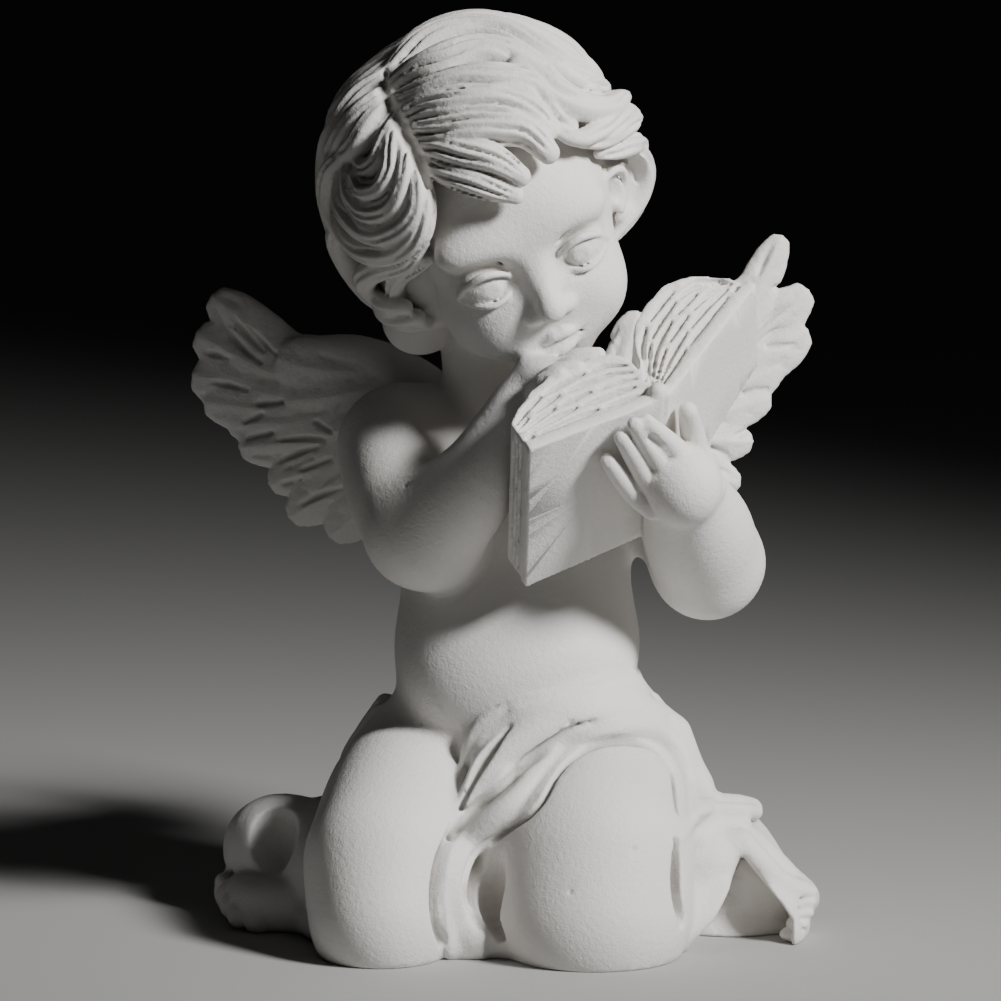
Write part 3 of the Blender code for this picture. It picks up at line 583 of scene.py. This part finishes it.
def barbs(seed):
    # a raised quill with slanting lines on both sides of it
    def lines(u, v, t, length):
        quill = -0.22 * np.exp(-(u / 0.12) ** 2)
        slant = (t - np.abs(u) * 3.4 + 0.5 * np.sin(u * 3 + seed)) / 2.1 + seed
        cut = np.exp(-((slant - np.round(slant)) / 0.16) ** 2)
        uneven = np.clip(0.35 + 0.65 * np.sin(np.round(slant) * 3.7 + seed * 2 + np.sign(u)), 0, 1)
        fade = np.clip((np.abs(u) - 0.15) * 6, 0, 1) * np.clip((1.02 - np.abs(u)) * 5, 0, 1)
        along = np.exp(-((np.abs(u) - 0.45) / 0.1) ** 2)
        along = along * np.clip(1.6 * np.sin(0.45 * t + 2 * seed + 3 * np.sign(u)), 0, 1)
        return quill + (0.28 * cut * uneven * fade + 0.4 * along) * np.clip((length - t) / 2, 0, 1)
    return lines


def feather(side, base, tip, width, forward, seed):
    start, end = onWing(side, *base, forward), onWing(side, *tip, forward)
    shares = [(0.0, 0.50, 0.9), (0.3, 0.86, 1.0), (0.62, 1.0, 1.0), (0.84, 0.86, 0.85), (0.95, 0.55, 0.6)]
    rows = []
    for share, wide, deep in shares:
        place = start + (end - start) * share - np.array((0, 0, 0.8 * math.sin(math.pi * share)))
        rows.append((*place, width / 2 * wide, wings["thick"] * deep))
    roll(rows, 0.5, (0, -1, 0), barbs(seed))


def layWing(side):
    own = wings[side]
    for i, (base, tip, width) in enumerate(own["feathers"]):
        feather(side, base, tip, width, 0.25 * i - 0.2, i * 0.7)
    for forward in (1.6, -2.1):
        for i, (base, tip, width) in enumerate(own["coverts"]):
            feather(side, base, tip, width, forward, i * 1.1 + forward)
    roll([(*onWing(side, out, up), radius) for out, up, radius in own["ridge"]], 1.2)
    for line in own["lines"]:
        if len(line) > 2:
            points = [(*place, 0.55, 0.9) for place in line[1:-1]]
            points = [(*line[0], 0.35, 0.3), *points, (*line[-1], 0.35, 0.3)]
        else:
            points = [(*line[0], 0.5, 0.7), (*line[1], 0.45, 0.5)]
        stroke(points, 0.25)


book = {
    "spineHead": (23.1, -36.0, 89.5),
    "spineTail": (21.8, -16.0, 66.5),
    "board": 1.8,
    "lineDepth": 1.3,
    "halves": [  # corners of the cover, then the pages: height of edge and arch, and where the arch peaks
        {"foreHead": (2.7, -44.2, 82.8), "foreTail": (2.2, -23.0, 58.8),
         "edge": 4.4, "arch": 6.8, "lean": 0.6, "reach": 1.0, "leaves": 6},
        {"foreHead": (37.5, -17.2, 105.3), "foreTail": (38.4, -5.0, 91.5),
         "edge": 2.6, "arch": 8.2, "lean": 1.36, "reach": 0.96, "leaves": 7},
    ],
}


def brokenLine(place, facing, seed, wide, deep):
    # a fine cut along place(0) to place(1), interrupted here and there
    dice = random.Random(seed)
    start = 0.02 + 0.08 * dice.random()
    while start < 0.94:
        end = min(start + 0.16 + 0.36 * dice.random(), 0.97)
        rows = []
        for t in np.linspace(start, end, max(3, int((end - start) * 12))):
            swell = 0.5 if t in (start, end) else 0.8 + 0.4 * dice.random()
            rows.append((*place(t), wide * swell, deep))
        roll(rows, 0.1, facing, carve=True, spacing=3.0)
        start = end + 0.02 + 0.06 * dice.random()


def layBook():
    spineHead, spineTail = np.array(book["spineHead"]), np.array(book["spineTail"])
    alongSpine = unit(spineTail - spineHead)
    for half in book["halves"]:
        foreHead, foreTail = np.array(half["foreHead"]), np.array(half["foreTail"])
        normal = unit(np.cross(foreHead - spineHead, spineTail - spineHead))
        normal = normal if normal[1] > 0 else -normal
        outward = unit(foreHead - spineHead)

        def onBoard(a, b):
            a, b = a[:, None], b[:, None]
            return (spineHead * (1 - a) + foreHead * a) * (1 - b) + (spineTail * (1 - a) + foreTail * a) * b

        def board(a, b, c):
            return onBoard(a, b) - normal * book["board"] * c[:, None]

        def pages(a, b, c):
            bulge = 1 - np.abs(2 * np.maximum(a, 1e-6) ** half["lean"] - 1) ** 3
            rise = (half["edge"] + half["arch"] * bulge) * c
            words = np.exp(-((b * 11 - np.round(b * 11)) / 0.27) ** 2)
            words = words * np.clip(np.sin(a * 40 + b * 90) * 2 + 1.6, 0, 1)
            rise = rise - np.where(c > 1 - 1e-6, words * 0.4 * ((a > 0.12) & (a < 0.9)), 0)
            return onBoard(a * half["reach"], 0.01 + b * 0.97) + normal * rise[:, None]

        def onPages(*shares):
            return pages(*(np.array([share], float) for share in shares))[0]

        slab(board, (2, 2, 1), 0.4)
        slab(pages, (60, 60, 20), 0.25)
        for i in range(1, half["leaves"]):
            share = (i - 0.35) / half["leaves"]
            for end in (0, 1):
                brokenLine(lambda a: onPages(a, end, share), alongSpine, 10 * i + end,
                           0.42, book["lineDepth"])
        for i in range(1, 4):
            brokenLine(lambda b: onPages(1, b, i / 4), outward, 90 + i, 0.25, 0.6)
    roll([(*spineHead, 1.5), (*spineTail, 1.7)], 0.4)
    # the hollow at the head of the spine
    roll([(23.4, -38.6, 87.4, 1.7), (21.6, -38.8, 86.2, 1.5), (19.4, -39.2, 85.6, 0.7)], 0.4, carve=True)


def layRightHand():
    ball((7.0, -26, 90.6), (4.4, 3.8, 3.2), 1.5)
    fingers = [  # they lie on the top of the page, under the chin
        [(4.4, -28.6, 88.6, 1.6), (5.8, -31.2, 90.4, 1.6), (8.2, -32.6, 91.6, 1.3)],
        [(5.6, -28.0, 90.0, 1.6), (7.6, -30.6, 91.8, 1.6), (10.8, -31.6, 92.8, 1.2)],
        [(6.6, -26.2, 91.0, 1.7), (10.0, -28.4, 92.8, 1.6), (13.2, -29.2, 93.6, 1.2)],
        [(7.4, -23.6, 91.4, 1.7), (11.2, -25.0, 93.6, 1.6), (14.2, -25.6, 94.2, 1.2)],
    ]
    for rows in fingers:
        roll(rows, 0.35)


def layLeftHand():
    ball((27.4, -32, 74.6), (5.6, 5.0, 6.0), 2)
    fingers = [  # they lie on one cover, the thumb on the other
        [(29.0, -31.5, 74.6, 2.3), (27.2, -33.0, 79.0, 1.9), (24.4, -35.2, 81.9, 1.75),
         (21.2, -39.6, 85.4, 1.2)],
        [(26.8, -32.5, 73.6, 2.2), (24.8, -33.2, 76.6, 1.8), (22.0, -35.8, 80.7, 1.7),
         (19.4, -40.3, 85.0, 1.15)],
        [(24.6, -31.5, 72.2, 2.1), (22.2, -32.6, 74.8, 1.75), (19.9, -35.3, 78.7, 1.6),
         (17.4, -39.8, 82.9, 1.1)],
        [(22.6, -30.0, 71.0, 2.0), (19.9, -31.2, 73.0, 1.7), (17.4, -34.3, 76.1, 1.5),
         (15.4, -37.7, 79.2, 1.1)],
    ]
    for rows in fingers:
        roll(rows, 0.3)
        x, y, z, _ = rows[-1]
        ball((x + 0.2, y - 1.2, z - 0.6), (0.9, 0.4, 1.1), 0.2, carve=True)  # nail
    roll([(25.0, -36.8, 79.4, 0.5), (23.8, -37.3, 80.8, 0.8), (22.0, -38.8, 82.8, 0.7)], 0.3, carve=True)
    roll([(31.0, -28.5, 74.0, 3.0), (29.6, -26.7, 78.6, 2.2), (28.6, -29.2, 82.6, 1.9),
          (27.8, -33.0, 86.2, 1.5)], 0.5)
    ball((27.8, -34.6, 85.0), (0.9, 0.4, 1.3), 0.2, carve=True)
    roll([(30.6, -29.6, 80.2, 0.3), (28.6, -31.2, 81.0, 0.4), (26.8, -31.2, 81.8, 0.3)], 0.4, carve=True)


def smoothLoop(corners):
    # a closed curve through the corners
    loop = []
    for i in range(len(corners)):
        near = [np.array(corners[(i + k) % len(corners)], float) for k in (-1, 0, 1, 2)]
        loop += [curved(*near, t) for t in (0, 0.25, 0.5, 0.75)]
    return loop


def outlineDistance(corners, x, z):
    # signed distance to a closed curve in the upright plane, below zero inside
    x, z = np.broadcast_arrays(x[:, 0, :], z[0, :, :])
    best, inside = np.full(x.shape, 1e9), np.zeros(x.shape, bool)
    loop = smoothLoop(corners)
    for (ax, az), (bx, bz) in zip(loop, loop[1:] + loop[:1]):
        dx, dz = bx - ax, bz - az
        t = np.clip(((x - ax) * dx + (z - az) * dz) / (dx * dx + dz * dz), 0, 1)
        best = np.minimum(best, (x - ax - t * dx) ** 2 + (z - az - t * dz) ** 2)
        crosses = (az > z) != (bz > z)
        where = ax + (z - az) * dx / (dz if dz else 1e-9)
        inside ^= crosses & (x < where)
    return (np.sqrt(best) * np.where(inside, -1, 1))[:, None, :].astype(np.float32)


cloth = {
    "thick": 1.1,
    "pits": [(10, 35.9, 0.7, 0.6), (11.4, 35.6, 0.5, 0.5), (13.2, 35.8, 0.5, 0.4), (8.4, 34.9, 0.35, 0.3),
             (-15.6, 73.3, 0.4, 0.4), (19.7, 18.8, 0.4, 0.35), (9.8, 12.6, 0.4, 0.35),
             (-5.0, 30.6, 0.4, 0.3)],
    "front": [(-0.4, 37.6), (-3.6, 35.6), (-5.8, 32), (-6.7, 28), (-7.4, 24), (-8, 20.5), (-9.8, 16.4),
              (-10.5, 11.7), (-10.2, 6), (-9, -4), (-2, -4), (-3.4, 4.4), (-5.6, 8), (-6.4, 11.6),
              (-6.0, 14.4), (-4, 17.6), (-1, 21), (3, 25.4), (5.4, 28.2), (8, 31.4), (12, 33.6), (17, 34.4),
              (22, 33.4), (26.6, 30), (29, 25.4), (29.2, 21), (33, 20), (34, 26), (32, 35), (27, 40.6),
              (20.5, 42), (14.8, 41.9), (8.5, 40.7), (3.7, 39.7), (0.4, 38.8)],
    "hem": [(29.2, 20.5, 1.0, 0.8), (29.0, 24.5, 1.5, 1.4), (27.3, 29.2, 1.8, 1.7), (23, 33.1, 1.9, 1.8),
            (16.5, 34.4, 1.8, 1.8), (11, 33.2, 1.6, 1.6), (7.4, 30.8, 1.6, 1.3), (5.0, 28.2, 1.7, 1.4),
            (2.2, 25.4, 1.8, 1.5), (-1.0, 22.8, 1.9, 1.6), (-4.2, 19.8, 2.0, 1.6), (-6.8, 15.4, 2.1, 1.4),
            (-7.8, 10.8, 2.0, 1.2), (-6.8, 6.2, 1.9, 1.0), (-4.6, 3.0, 1.6, 0.7)],
    "creases": [
        [(15, 36.0, 0.5, 0.3), (10.8, 34.9, 0.7, 0.9), (8.1, 33.4, 0.8, 1.3), (5.3, 31.6, 0.9, 1.8),
         (2.2, 29.0, 1.0, 2.2), (-1, 26.6, 1.1, 2.4), (-4.1, 23.9, 1.1, 2.4), (-6.4, 21.4, 1.0, 2.0),
         (-8.7, 18.8, 0.6, 1.4)],
        [(26.6, 27.2, 0.5, 0.7), (22.8, 31.0, 0.8, 1.2), (16.5, 32.3, 0.9, 1.3), (11.4, 31.2, 0.8, 1.2),
         (8.0, 28.8, 0.6, 0.9), (6.2, 26.0, 0.6, 0.9), (4.0, 23.4, 0.6, 1.0), (0.8, 20.9, 0.7, 1.1),
         (-2.2, 18.2, 0.7, 1.0)],
        [(0.6, 35.4, 0.4, 0.6), (-2.0, 32.4, 0.9, 1.8), (-4.2, 29.4, 1.0, 2.2), (-5.8, 26.6, 0.8, 1.8),
         (-7.2, 23, 0.6, 1.2)],
        [(-3.0, 18.4, 0.4, 0.3), (-5.4, 15.6, 0.5, 0.7), (-6.6, 11.6, 0.5, 0.8), (-5.8, 8, 0.5, 0.7),
         (-4.2, 5.2, 0.4, 0.3)],
        [(26.0, 28.0, 0.4, 1.0), (26.6, 25.0, 0.6, 3.0), (26.6, 22.4, 0.5, 2.6)],
        [(26.6, 18.8, 0.8, 1.4), (26.4, 14, 1.3, 4.0), (26.6, 10, 1.3, 4.0), (27.4, 6.6, 1.0, 1.6)],
        [(-8.4, 20.6, 0.5, 0.6), (-10.2, 16.8, 0.8, 1.4), (-11.1, 12.0, 0.9, 1.8), (-10.9, 7.0, 0.9, 1.7),
         (-9.8, 3.0, 0.8, 1.0)],
    ],
    "ridges": [
        [(0.2, 38.2, 0.6, 0.3), (-1.5, 37.2, 0.9, 0.7), (-3.9, 35.2, 1.0, 0.8), (-5.8, 32, 1.0, 0.8),
         (-6.7, 28, 0.9, 0.7), (-7.3, 24.5, 0.7, 0.4)],
        [(0.6, 38.9, 0.5, 0.3), (3.7, 39.7, 0.6, 0.5), (8.5, 40.7, 0.6, 0.5), (14.8, 41.9, 0.6, 0.5),
         (20.5, 42, 0.5, 0.3)],
    ],
}


def layCloth():
    ball((1, -20, 17), (7, 8, 12), 2)
    ball((1, -22, 7), (9, 9, 8), 2)
    ball((1, 16, 20), (23, 15, 18), 2)
    ball((1, 16, 4), (30, 18, 8), 2)
    ball((-2.5, -14.5, 31), (4.6, 4, 6), 1.5)
    ball((6, 18, 31), (14, 6, 5), 2)
    folds = [
        [(-2.5, -16.2, 35, 1.6), (8, -16.8, 38, 2.6), (18.2, -8.5, 38.0, 2.7), (19.6, 5, 35.6, 2.8),
         (16, 18, 35, 3), (0, 22, 34, 3), (-14, 18, 33, 3), (-19, 8, 32, 2)],
        [(24.6, 4, 30.5, 2.8), (22.6, -6, 33.8, 2.8), (14, -15, 36.4, 3.2), (7, -17.8, 35.2, 2.8),
         (1.6, -19.2, 32.2, 2.4), (-3, -20.4, 28, 2.2), (-6.4, -22.4, 22.6, 1.8), (-8.4, -24.4, 18, 1.2)],
    ]
    for rows in folds:
        roll(rows, 1.2)
    part, x, y, z = clay.window((-40, -44, -2), (45, 38, 46))
    front = np.maximum(outlineDistance(cloth["front"], x, z), y - 4)
    behind = np.maximum(z - (37 + 0.1 * x), -y + 0.25 * np.abs(x - 1))
    behind = np.maximum(behind, np.abs(x - 1) - 29)
    region = np.minimum(front, behind) + 0.5
    over = clay.skin[part] - cloth["thick"] + 0.3
    h = np.clip(0.5 + (over - region) / 2.4, 0, 1)  # a rounded edge
    clay.add(part, region + (over - region) * h + 1.2 * h * (1 - h), 0.5)
    for i in range(19):  # the folds that fall behind, with valleys between them
        turn, high = math.radians(-81 + 9 * i), 33 - 3.0 * (i % 3)
        rows = []
        for drop in (0, 0.2, 0.45, 0.7, 0.9, 1.05):
            place = onBack(turn + 0.05 * math.sin(5 * drop + 1.7 * i), high * (1 - drop) + 1)
            share = min(1, 0.25 + drop * 1.3)
            if i % 2:
                rows.append((*place, 0.7 + 1.3 * share, 0.5 + 2.3 * share))
            else:
                place = place - 0.6 * share * unit(fromMiddle(place))
                rows.append((*place, 1.0 + 1.1 * share, 1.0 + share))
        roll(rows, 1.6, fromMiddle, carve=bool(i % 2))
    stroke(cloth["hem"], 0.8, raised=True)
    for points in cloth["ridges"]:
        stroke(points, 0.5, raised=True)
    for points in cloth["creases"]:
        stroke(points, 0.5)
    for x, z, wide, deep in cloth["pits"]:
        pit(x, z, wide, deep)
    roll([(-1.8, -30.5, 18.6, 0.8), (-2.2, -29.5, 14.5, 2.2), (-2.0, -28.5, 10.5, 2.7),
          (-1.4, -28.5, 7.0, 2.4), (-0.6, -30, 4.0, 1.2)], 0.6, carve=True)


def layRightFoot():
    roll([(-30, 2, 10, 9), (-37, 8, 10.5, 8.7), (-39, 14, 8, 6.8)], 2)
    roll([(-30, -6, 3, 5), (-39, -5, 3.5, 4.5), (-43.5, 6, 3.5, 4)], 1.5)
    ball((-33, 13, 8.5), (9, 9, 9), 2)
    ball((-37.6, -3.0, 14.4), (4.4, 6.5, 6.0), 0.7, carve=True)
    for place, radius in (((-45.4, 4.5, 5.4), 1.9), ((-45.0, 0.5, 4.0), 2.0), ((-44.0, -3.0, 3.0), 2.1),
                          ((-42.6, -6.0, 2.2), 2.2), ((-39.6, -8.2, 1.8), 2.4)):
        ball(place, radius, 0.5)
    ball((-45.6, 3.2, 7.2), (1.6, 2.4, 1.0), 0.3, carve=True)


def soleHollow(a, b, c):
    # between the ankle and the outer edge of the foot, deepest at the floor
    z = -3 + 16.4 * c
    left = np.interp(z, (-3, 1, 5, 9.5, 13.4), (27.5, 28.8, 32.6, 35.4, 37.2))
    right = np.interp(z, (-3, 4, 7.2, 9.8, 13.4), (45.0, 45.2, 43.0, 40.4, 37.6))
    back = -10 - 0.3 * z
    return np.stack([left + a * (right - left), back + b * (-36 - back), z], axis=1)


def layLeftFoot():
    ball((33, -2, 9), (11, 14, 11), 2)
    roll([(31, -16, 2, 9), (38, -16, 2, 8.4), (43.5, -11, 2, 5)], 2)
    roll([(38, -1, 9.2, 6.0), (43, -1, 6.2, 4.6), (47, -1, 4.2, 3.4)], 2)
    ball((32.0, -12.6, 11.5), (5.8, 6.6, 6.8), 1.5)
    roll([(37.0, -13.8, 15.4, 2.4), (40.0, -14.8, 12.4, 2.2), (42.8, -15.0, 9.7, 2.0),
          (45.4, -14.4, 7.9, 2.1), (47.2, -12.8, 6.6, 2.3), (47.6, -7, 5.0, 2.6)], 1.8)
    roll([(39.0, -9.5, 13.6, 3.0), (43.0, -9.5, 9.8, 3.0), (46.0, -8.5, 6.4, 2.8)], 2)
    roll([(46.6, -12.8, 7.4, 2.0), (46.4, -13.6, 4.4, 2.2), (44.8, -14.4, 1.4, 2.2)], 0.8)
    roll([(28.6, -17, 17.4, 1.6), (33, -12.6, 17.8, 1.9), (37.2, -10, 17.6, 1.9)], 1.2)
    slab(soleHollow, (6, 2, 12), 1.2, carve=True)
    ball((36, -8, -1.5), (9, 5.5, 5), 2)
    roll([(26.2, -4, 31, 2.8), (28.6, -6, 25, 2.8), (32.6, -6.5, 20.4, 2.3), (37, -6, 19.8, 2.0),
          (39.2, -5, 19.2, 1.9)], 1.0)
    roll([(25.3, -31, 18.4, 0.9), (27.2, -26.5, 19.4, 1.1), (29, -19, 20.2, 1.3), (32, -13, 20.4, 1.3),
          (35.4, -11, 20.2, 1.3), (38.0, -9.4, 19.8, 1.2), (39.8, -6.5, 19.0, 1.2)], 0.8)
    for i in range(5):
        x, y, z = 47.6 - 0.15 * i * i, -13.2 - 0.7 * i, 7.6 - 1.6 * i
        ball((x, y, z), (1.9, 1.9, 1.1), 0.4)
        if i:
            roll([(x - 3.2, y - 1.7, z + 0.4, 0.2), (x - 0.4, y - 1.9, z + 0.85, 0.4),
                  (x + 1.8, y - 0.8, z + 0.85, 0.3)], 0.25, carve=True)


layTrunk()
layThighs()
layFace()
layArms()
print("body laid")
layRightFoot()
layLeftFoot()
layCloth()
print("cloth and feet laid")
layHair()
layEar()
print("hair laid")
layWing(-1)
layWing(1)
print("wings laid")
layBook()
layRightHand()
layLeftHand()
print("book and hands laid")


def skinMesh(name):
    grid = openvdb.FloatGrid(3.0)
    grid.copyFromArray(np.clip(clay.skin / clay.step, -3, 3).astype(np.float32), tolerance=0.0)
    points, triangles, quads = grid.convertToPolygons(isovalue=0.0, adaptivity=0.0)
    points = points.astype(float) * clay.step + clay.low
    mesh = bpy.data.meshes.new(name)
    faces = [f[::-1].tolist() for f in quads] + [f[::-1].tolist() for f in triangles]
    mesh.from_pydata(points.tolist(), [], faces)
    return mesh


def softened(field, reach, rounds=2):
    # each value becomes the mean of its neighbours within reach cells
    for axis in range(3):
        for _ in range(rounds):
            edge = [(reach + 1, reach) if i == axis else (0, 0) for i in range(3)]
            sums = np.cumsum(np.pad(field, edge, mode="edge"), axis=axis, dtype=np.float32)
            sums = np.moveaxis(sums, axis, 0)
            mean = (sums[2 * reach + 1:] - sums[:-2 * reach - 1]) / (2 * reach + 1)
            field = np.moveaxis(mean, 0, axis)
    return field


def valuesAt(field, points):
    place = (points - clay.low) / clay.step
    corner = np.clip(np.floor(place).astype(int), 0, np.array(field.shape) - 2)
    share = place - corner
    total = np.zeros(len(points))
    for i in (0, 1):
        for j in (0, 1):
            for k in (0, 1):
                weight = 1.0
                for axis, side in enumerate((i, j, k)):
                    weight = weight * (share[:, axis] if side else 1 - share[:, axis])
                total += weight * field[corner[:, 0] + i, corner[:, 1] + j, corner[:, 2] + k]
    return total


drawn = {"height": 147.0, "middle": (-0.44, -4.5)}  # as the solids were drawn before they were centred


def scaleToFrame(mesh):
    low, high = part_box("cherub_statuette")
    scale = (high[2] - low[2]) / drawn["height"]
    places = np.empty(len(mesh.vertices) * 3)
    mesh.vertices.foreach_get("co", places)
    places = places.reshape(-1, 3)
    print("drawn box", places.min(axis=0).round(2), places.max(axis=0).round(2))
    middle = [(a + b) / 2 for a, b in zip(low, high)]
    across, deep = (m - d * scale for m, d in zip(middle, drawn["middle"]))
    shift = np.array([across, deep, low[2]])
    mesh.vertices.foreach_set("co", (places * scale + shift).ravel())
    return scale, shift


heights = clay.window(block["low"], block["high"])[3]
clay.skin = np.maximum(clay.skin, -heights)  # flat underneath
mesh = skinMesh("cherub")
scale, shift = scaleToFrame(mesh)
print("skin", len(mesh.polygons), "scale", round(scale, 5), "shift", shift)
cherub = bpy.data.objects.new("cherub", mesh)
bpy.context.scene.collection.objects.link(cherub)
thin = cherub.modifiers.new("Thin", "DECIMATE")
thin.ratio = min(1.0, block["triangles"] / sum(len(face.vertices) - 2 for face in mesh.polygons))
graph = bpy.context.evaluated_depsgraph_get()
settled = bpy.data.meshes.new_from_object(cherub.evaluated_get(graph))
cherub.modifiers.clear()
cherub.data = settled
settled.shade_smooth()
print("thinned to", len(settled.polygons))

# how far each point lies in a groove, for the painted shade and the grime in the plaster's grooves
places = np.empty(len(settled.vertices) * 3)
settled.vertices.foreach_get("co", places)
places = (places.reshape(-1, 3) - shift) / scale
around = softened(np.clip(clay.skin, -2.5, 2.5), block["grooveReach"])
hollow = settled.attributes.new("hollow", "FLOAT", "POINT")
hollow.data.foreach_set("value", np.clip(-valuesAt(around, places), -1, 1).astype(np.float32))
print("grooves found")

plasterLook = {
    "colour": (0.735, 0.72, 0.70),
    "warm": (0.77, 0.74, 0.70),
    # the next two colours are partly painted shade: they darken the grooves where shade falls, besides some
    # real dust and grime
    "dustAndShade": (0.46, 0.42, 0.38),
    "grimeAndShade": (0.10, 0.085, 0.075),
    "roughness": 0.5,
    "cloudScale": 28.0,
    "fineScale": 1100.0,
    "grainScale": 3200.0,
    "bumpStrength": 0.6,
    "bumpHeight": 0.0003,
}


class Wire:
    # a socket that can be used in Python sums
    def __init__(self, nodes, socket):
        self.nodes, self.socket = nodes, socket

    def sum(self, operation, *values):
        return self.nodes.node("ShaderNodeMath", {"operation": operation}, dict(enumerate(values)))

    def __add__(self, other):
        return self.sum("ADD", self, other)

    def __radd__(self, other):
        return self.sum("ADD", other, self)

    def __mul__(self, other):
        return self.sum("MULTIPLY", self, other)

    def __rmul__(self, other):
        return self.sum("MULTIPLY", other, self)

    def between(self, low, high):
        return self.nodes.node("ShaderNodeMapRange", {"interpolation_type": "SMOOTHSTEP"},
                               {"Value": self, "From Min": low, "From Max": high})


class Nodes:
    def __init__(self, material):
        material.use_nodes = True
        self.tree = material.node_tree
        self.tree.nodes.clear()

    def plug(self, socket, value):
        if isinstance(value, Wire):
            self.tree.links.new(value.socket, socket)
        else:
            socket.default_value = (*value, 1) if hasattr(value, "__len__") else value

    def node(self, kind, settings=None, inputs=None, output=0):
        made = self.tree.nodes.new(kind)
        for name, value in (settings or {}).items():
            setattr(made, name, value)
        for name, value in (inputs or {}).items():
            self.plug(made.inputs[name], value)
        return Wire(self, made.outputs[output]) if made.outputs else None

    def mix(self, amount, first, second):
        made = self.tree.nodes.new("ShaderNodeMix")
        made.data_type = "RGBA"
        for index, value in ((0, amount), (6, first), (7, second)):  # the factor and the colours
            self.plug(made.inputs[index], value)
        return Wire(self, made.outputs[2])


def castPlaster():
    material = bpy.data.materials.new("castPlaster")
    nodes = Nodes(material)
    place = nodes.node("ShaderNodeTexCoord", output="Object")

    def noise(scale, detail):
        return nodes.node("ShaderNodeTexNoise", {}, {"Vector": place, "Scale": scale, "Detail": detail})

    cloud = noise(plasterLook["cloudScale"], 4.0)
    fine = noise(plasterLook["fineScale"], 5.0)
    grain = noise(plasterLook["grainScale"], 2.0)
    groove = nodes.node("ShaderNodeAttribute", {"attribute_name": "hollow"}, output="Fac")
    colour = nodes.mix(cloud.between(0.35, 0.7), plasterLook["colour"], plasterLook["warm"])
    # painted shade with some grime: the deeper a point lies in a groove, the darker the plaster is coloured
    colour = nodes.mix((groove + 0.12 * fine).between(0.08, 0.38) * 0.5, colour, plasterLook["dustAndShade"])
    colour = nodes.mix((groove + 0.10 * fine).between(0.30, 0.62) * 0.9, colour, plasterLook["grimeAndShade"])
    rough = plasterLook["roughness"] + 0.16 * cloud + 0.1 * fine
    bump = nodes.node("ShaderNodeBump", {}, {
        "Strength": plasterLook["bumpStrength"], "Distance": plasterLook["bumpHeight"],
        "Height": fine * 0.6 + grain * 0.4})
    shader = nodes.node("ShaderNodeBsdfPrincipled", {}, {
        "Base Color": colour, "Roughness": rough, "Normal": bump, "IOR": 1.5, "Specular IOR Level": 0.4})
    nodes.node("ShaderNodeOutputMaterial", {}, {"Surface": shader})
    return material


cherub.data.materials.clear()
cherub.data.materials.append(castPlaster())
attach(cherub, "root")
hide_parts("cherub_statuette")
print("plaster on")

studio = {
    "floor": (0.42, 0.415, 0.405, 1),
    "floorSide": 24.0,
    "lit": (0, 0, 0.08),  # what the lamps point at
    "lamps": [  # name, place, side, watts and spread in degrees
        ("key", (0.49, -0.385, 0.478), 0.14, 1.08, 60),
        ("fill", (-0.55, -0.60, 0.30), 0.7, 0.008, 180),
        ("rim", (-0.30, 0.45, 0.45), 0.5, 0.05, 180),
    ],
    "sky": (0.75, 0.78, 0.82, 1),
    "skyStrength": 0.006,
}

bpy.ops.mesh.primitive_plane_add(size=studio["floorSide"], location=(0, 0, 0))
floor = bpy.context.object
floor.name = "floor"
pale = bpy.data.materials.new("paleFloor")
pale.use_nodes = True
pale.node_tree.nodes["Principled BSDF"].inputs["Base Color"].default_value = studio["floor"]
pale.node_tree.nodes["Principled BSDF"].inputs["Roughness"].default_value = 0.8
floor.data.materials.append(pale)

for name, place, side, watts, spread in studio["lamps"]:
    lamp = bpy.data.lights.new(name, "AREA")
    lamp.size = side
    lamp.energy = watts
    lamp.spread = math.radians(spread)
    holder = bpy.data.objects.new(name, lamp)
    bpy.context.scene.collection.objects.link(holder)
    holder.location = place
    holder.rotation_mode = "QUATERNION"
    holder.rotation_quaternion = (Vector(studio["lit"]) - Vector(place)).to_track_quat("-Z", "Y")

world = bpy.data.worlds.new("studio")
bpy.context.scene.world = world
world.use_nodes = True
world.node_tree.nodes["Background"].inputs["Color"].default_value = studio["sky"]
world.node_tree.nodes["Background"].inputs["Strength"].default_value = studio["skyStrength"]
print("floor and lamps set")

view = {  # in drawn millimetres and degrees
    "aim": (-0.88, 0.0, 68.42),
    "distance": 800.0,
    "elevation": 7.0,
    "width": 160.16,
}
tilt = math.radians(view["elevation"])
aim = Vector(view["aim"]) * scale + Vector(shift)
back = Vector((0, -math.cos(tilt), math.sin(tilt)))
camera = bpy.data.objects.new("camera", bpy.data.cameras.new("camera"))
bpy.context.scene.collection.objects.link(camera)
camera.location = aim + back * view["distance"] * scale
camera.rotation_mode = "QUATERNION"
camera.rotation_quaternion = (-back).to_track_quat("-Z", "Y")
camera.data.sensor_width = 36
camera.data.lens = 36 * view["distance"] / view["width"]
camera.data.clip_start = 0.01
bpy.context.scene.camera = camera
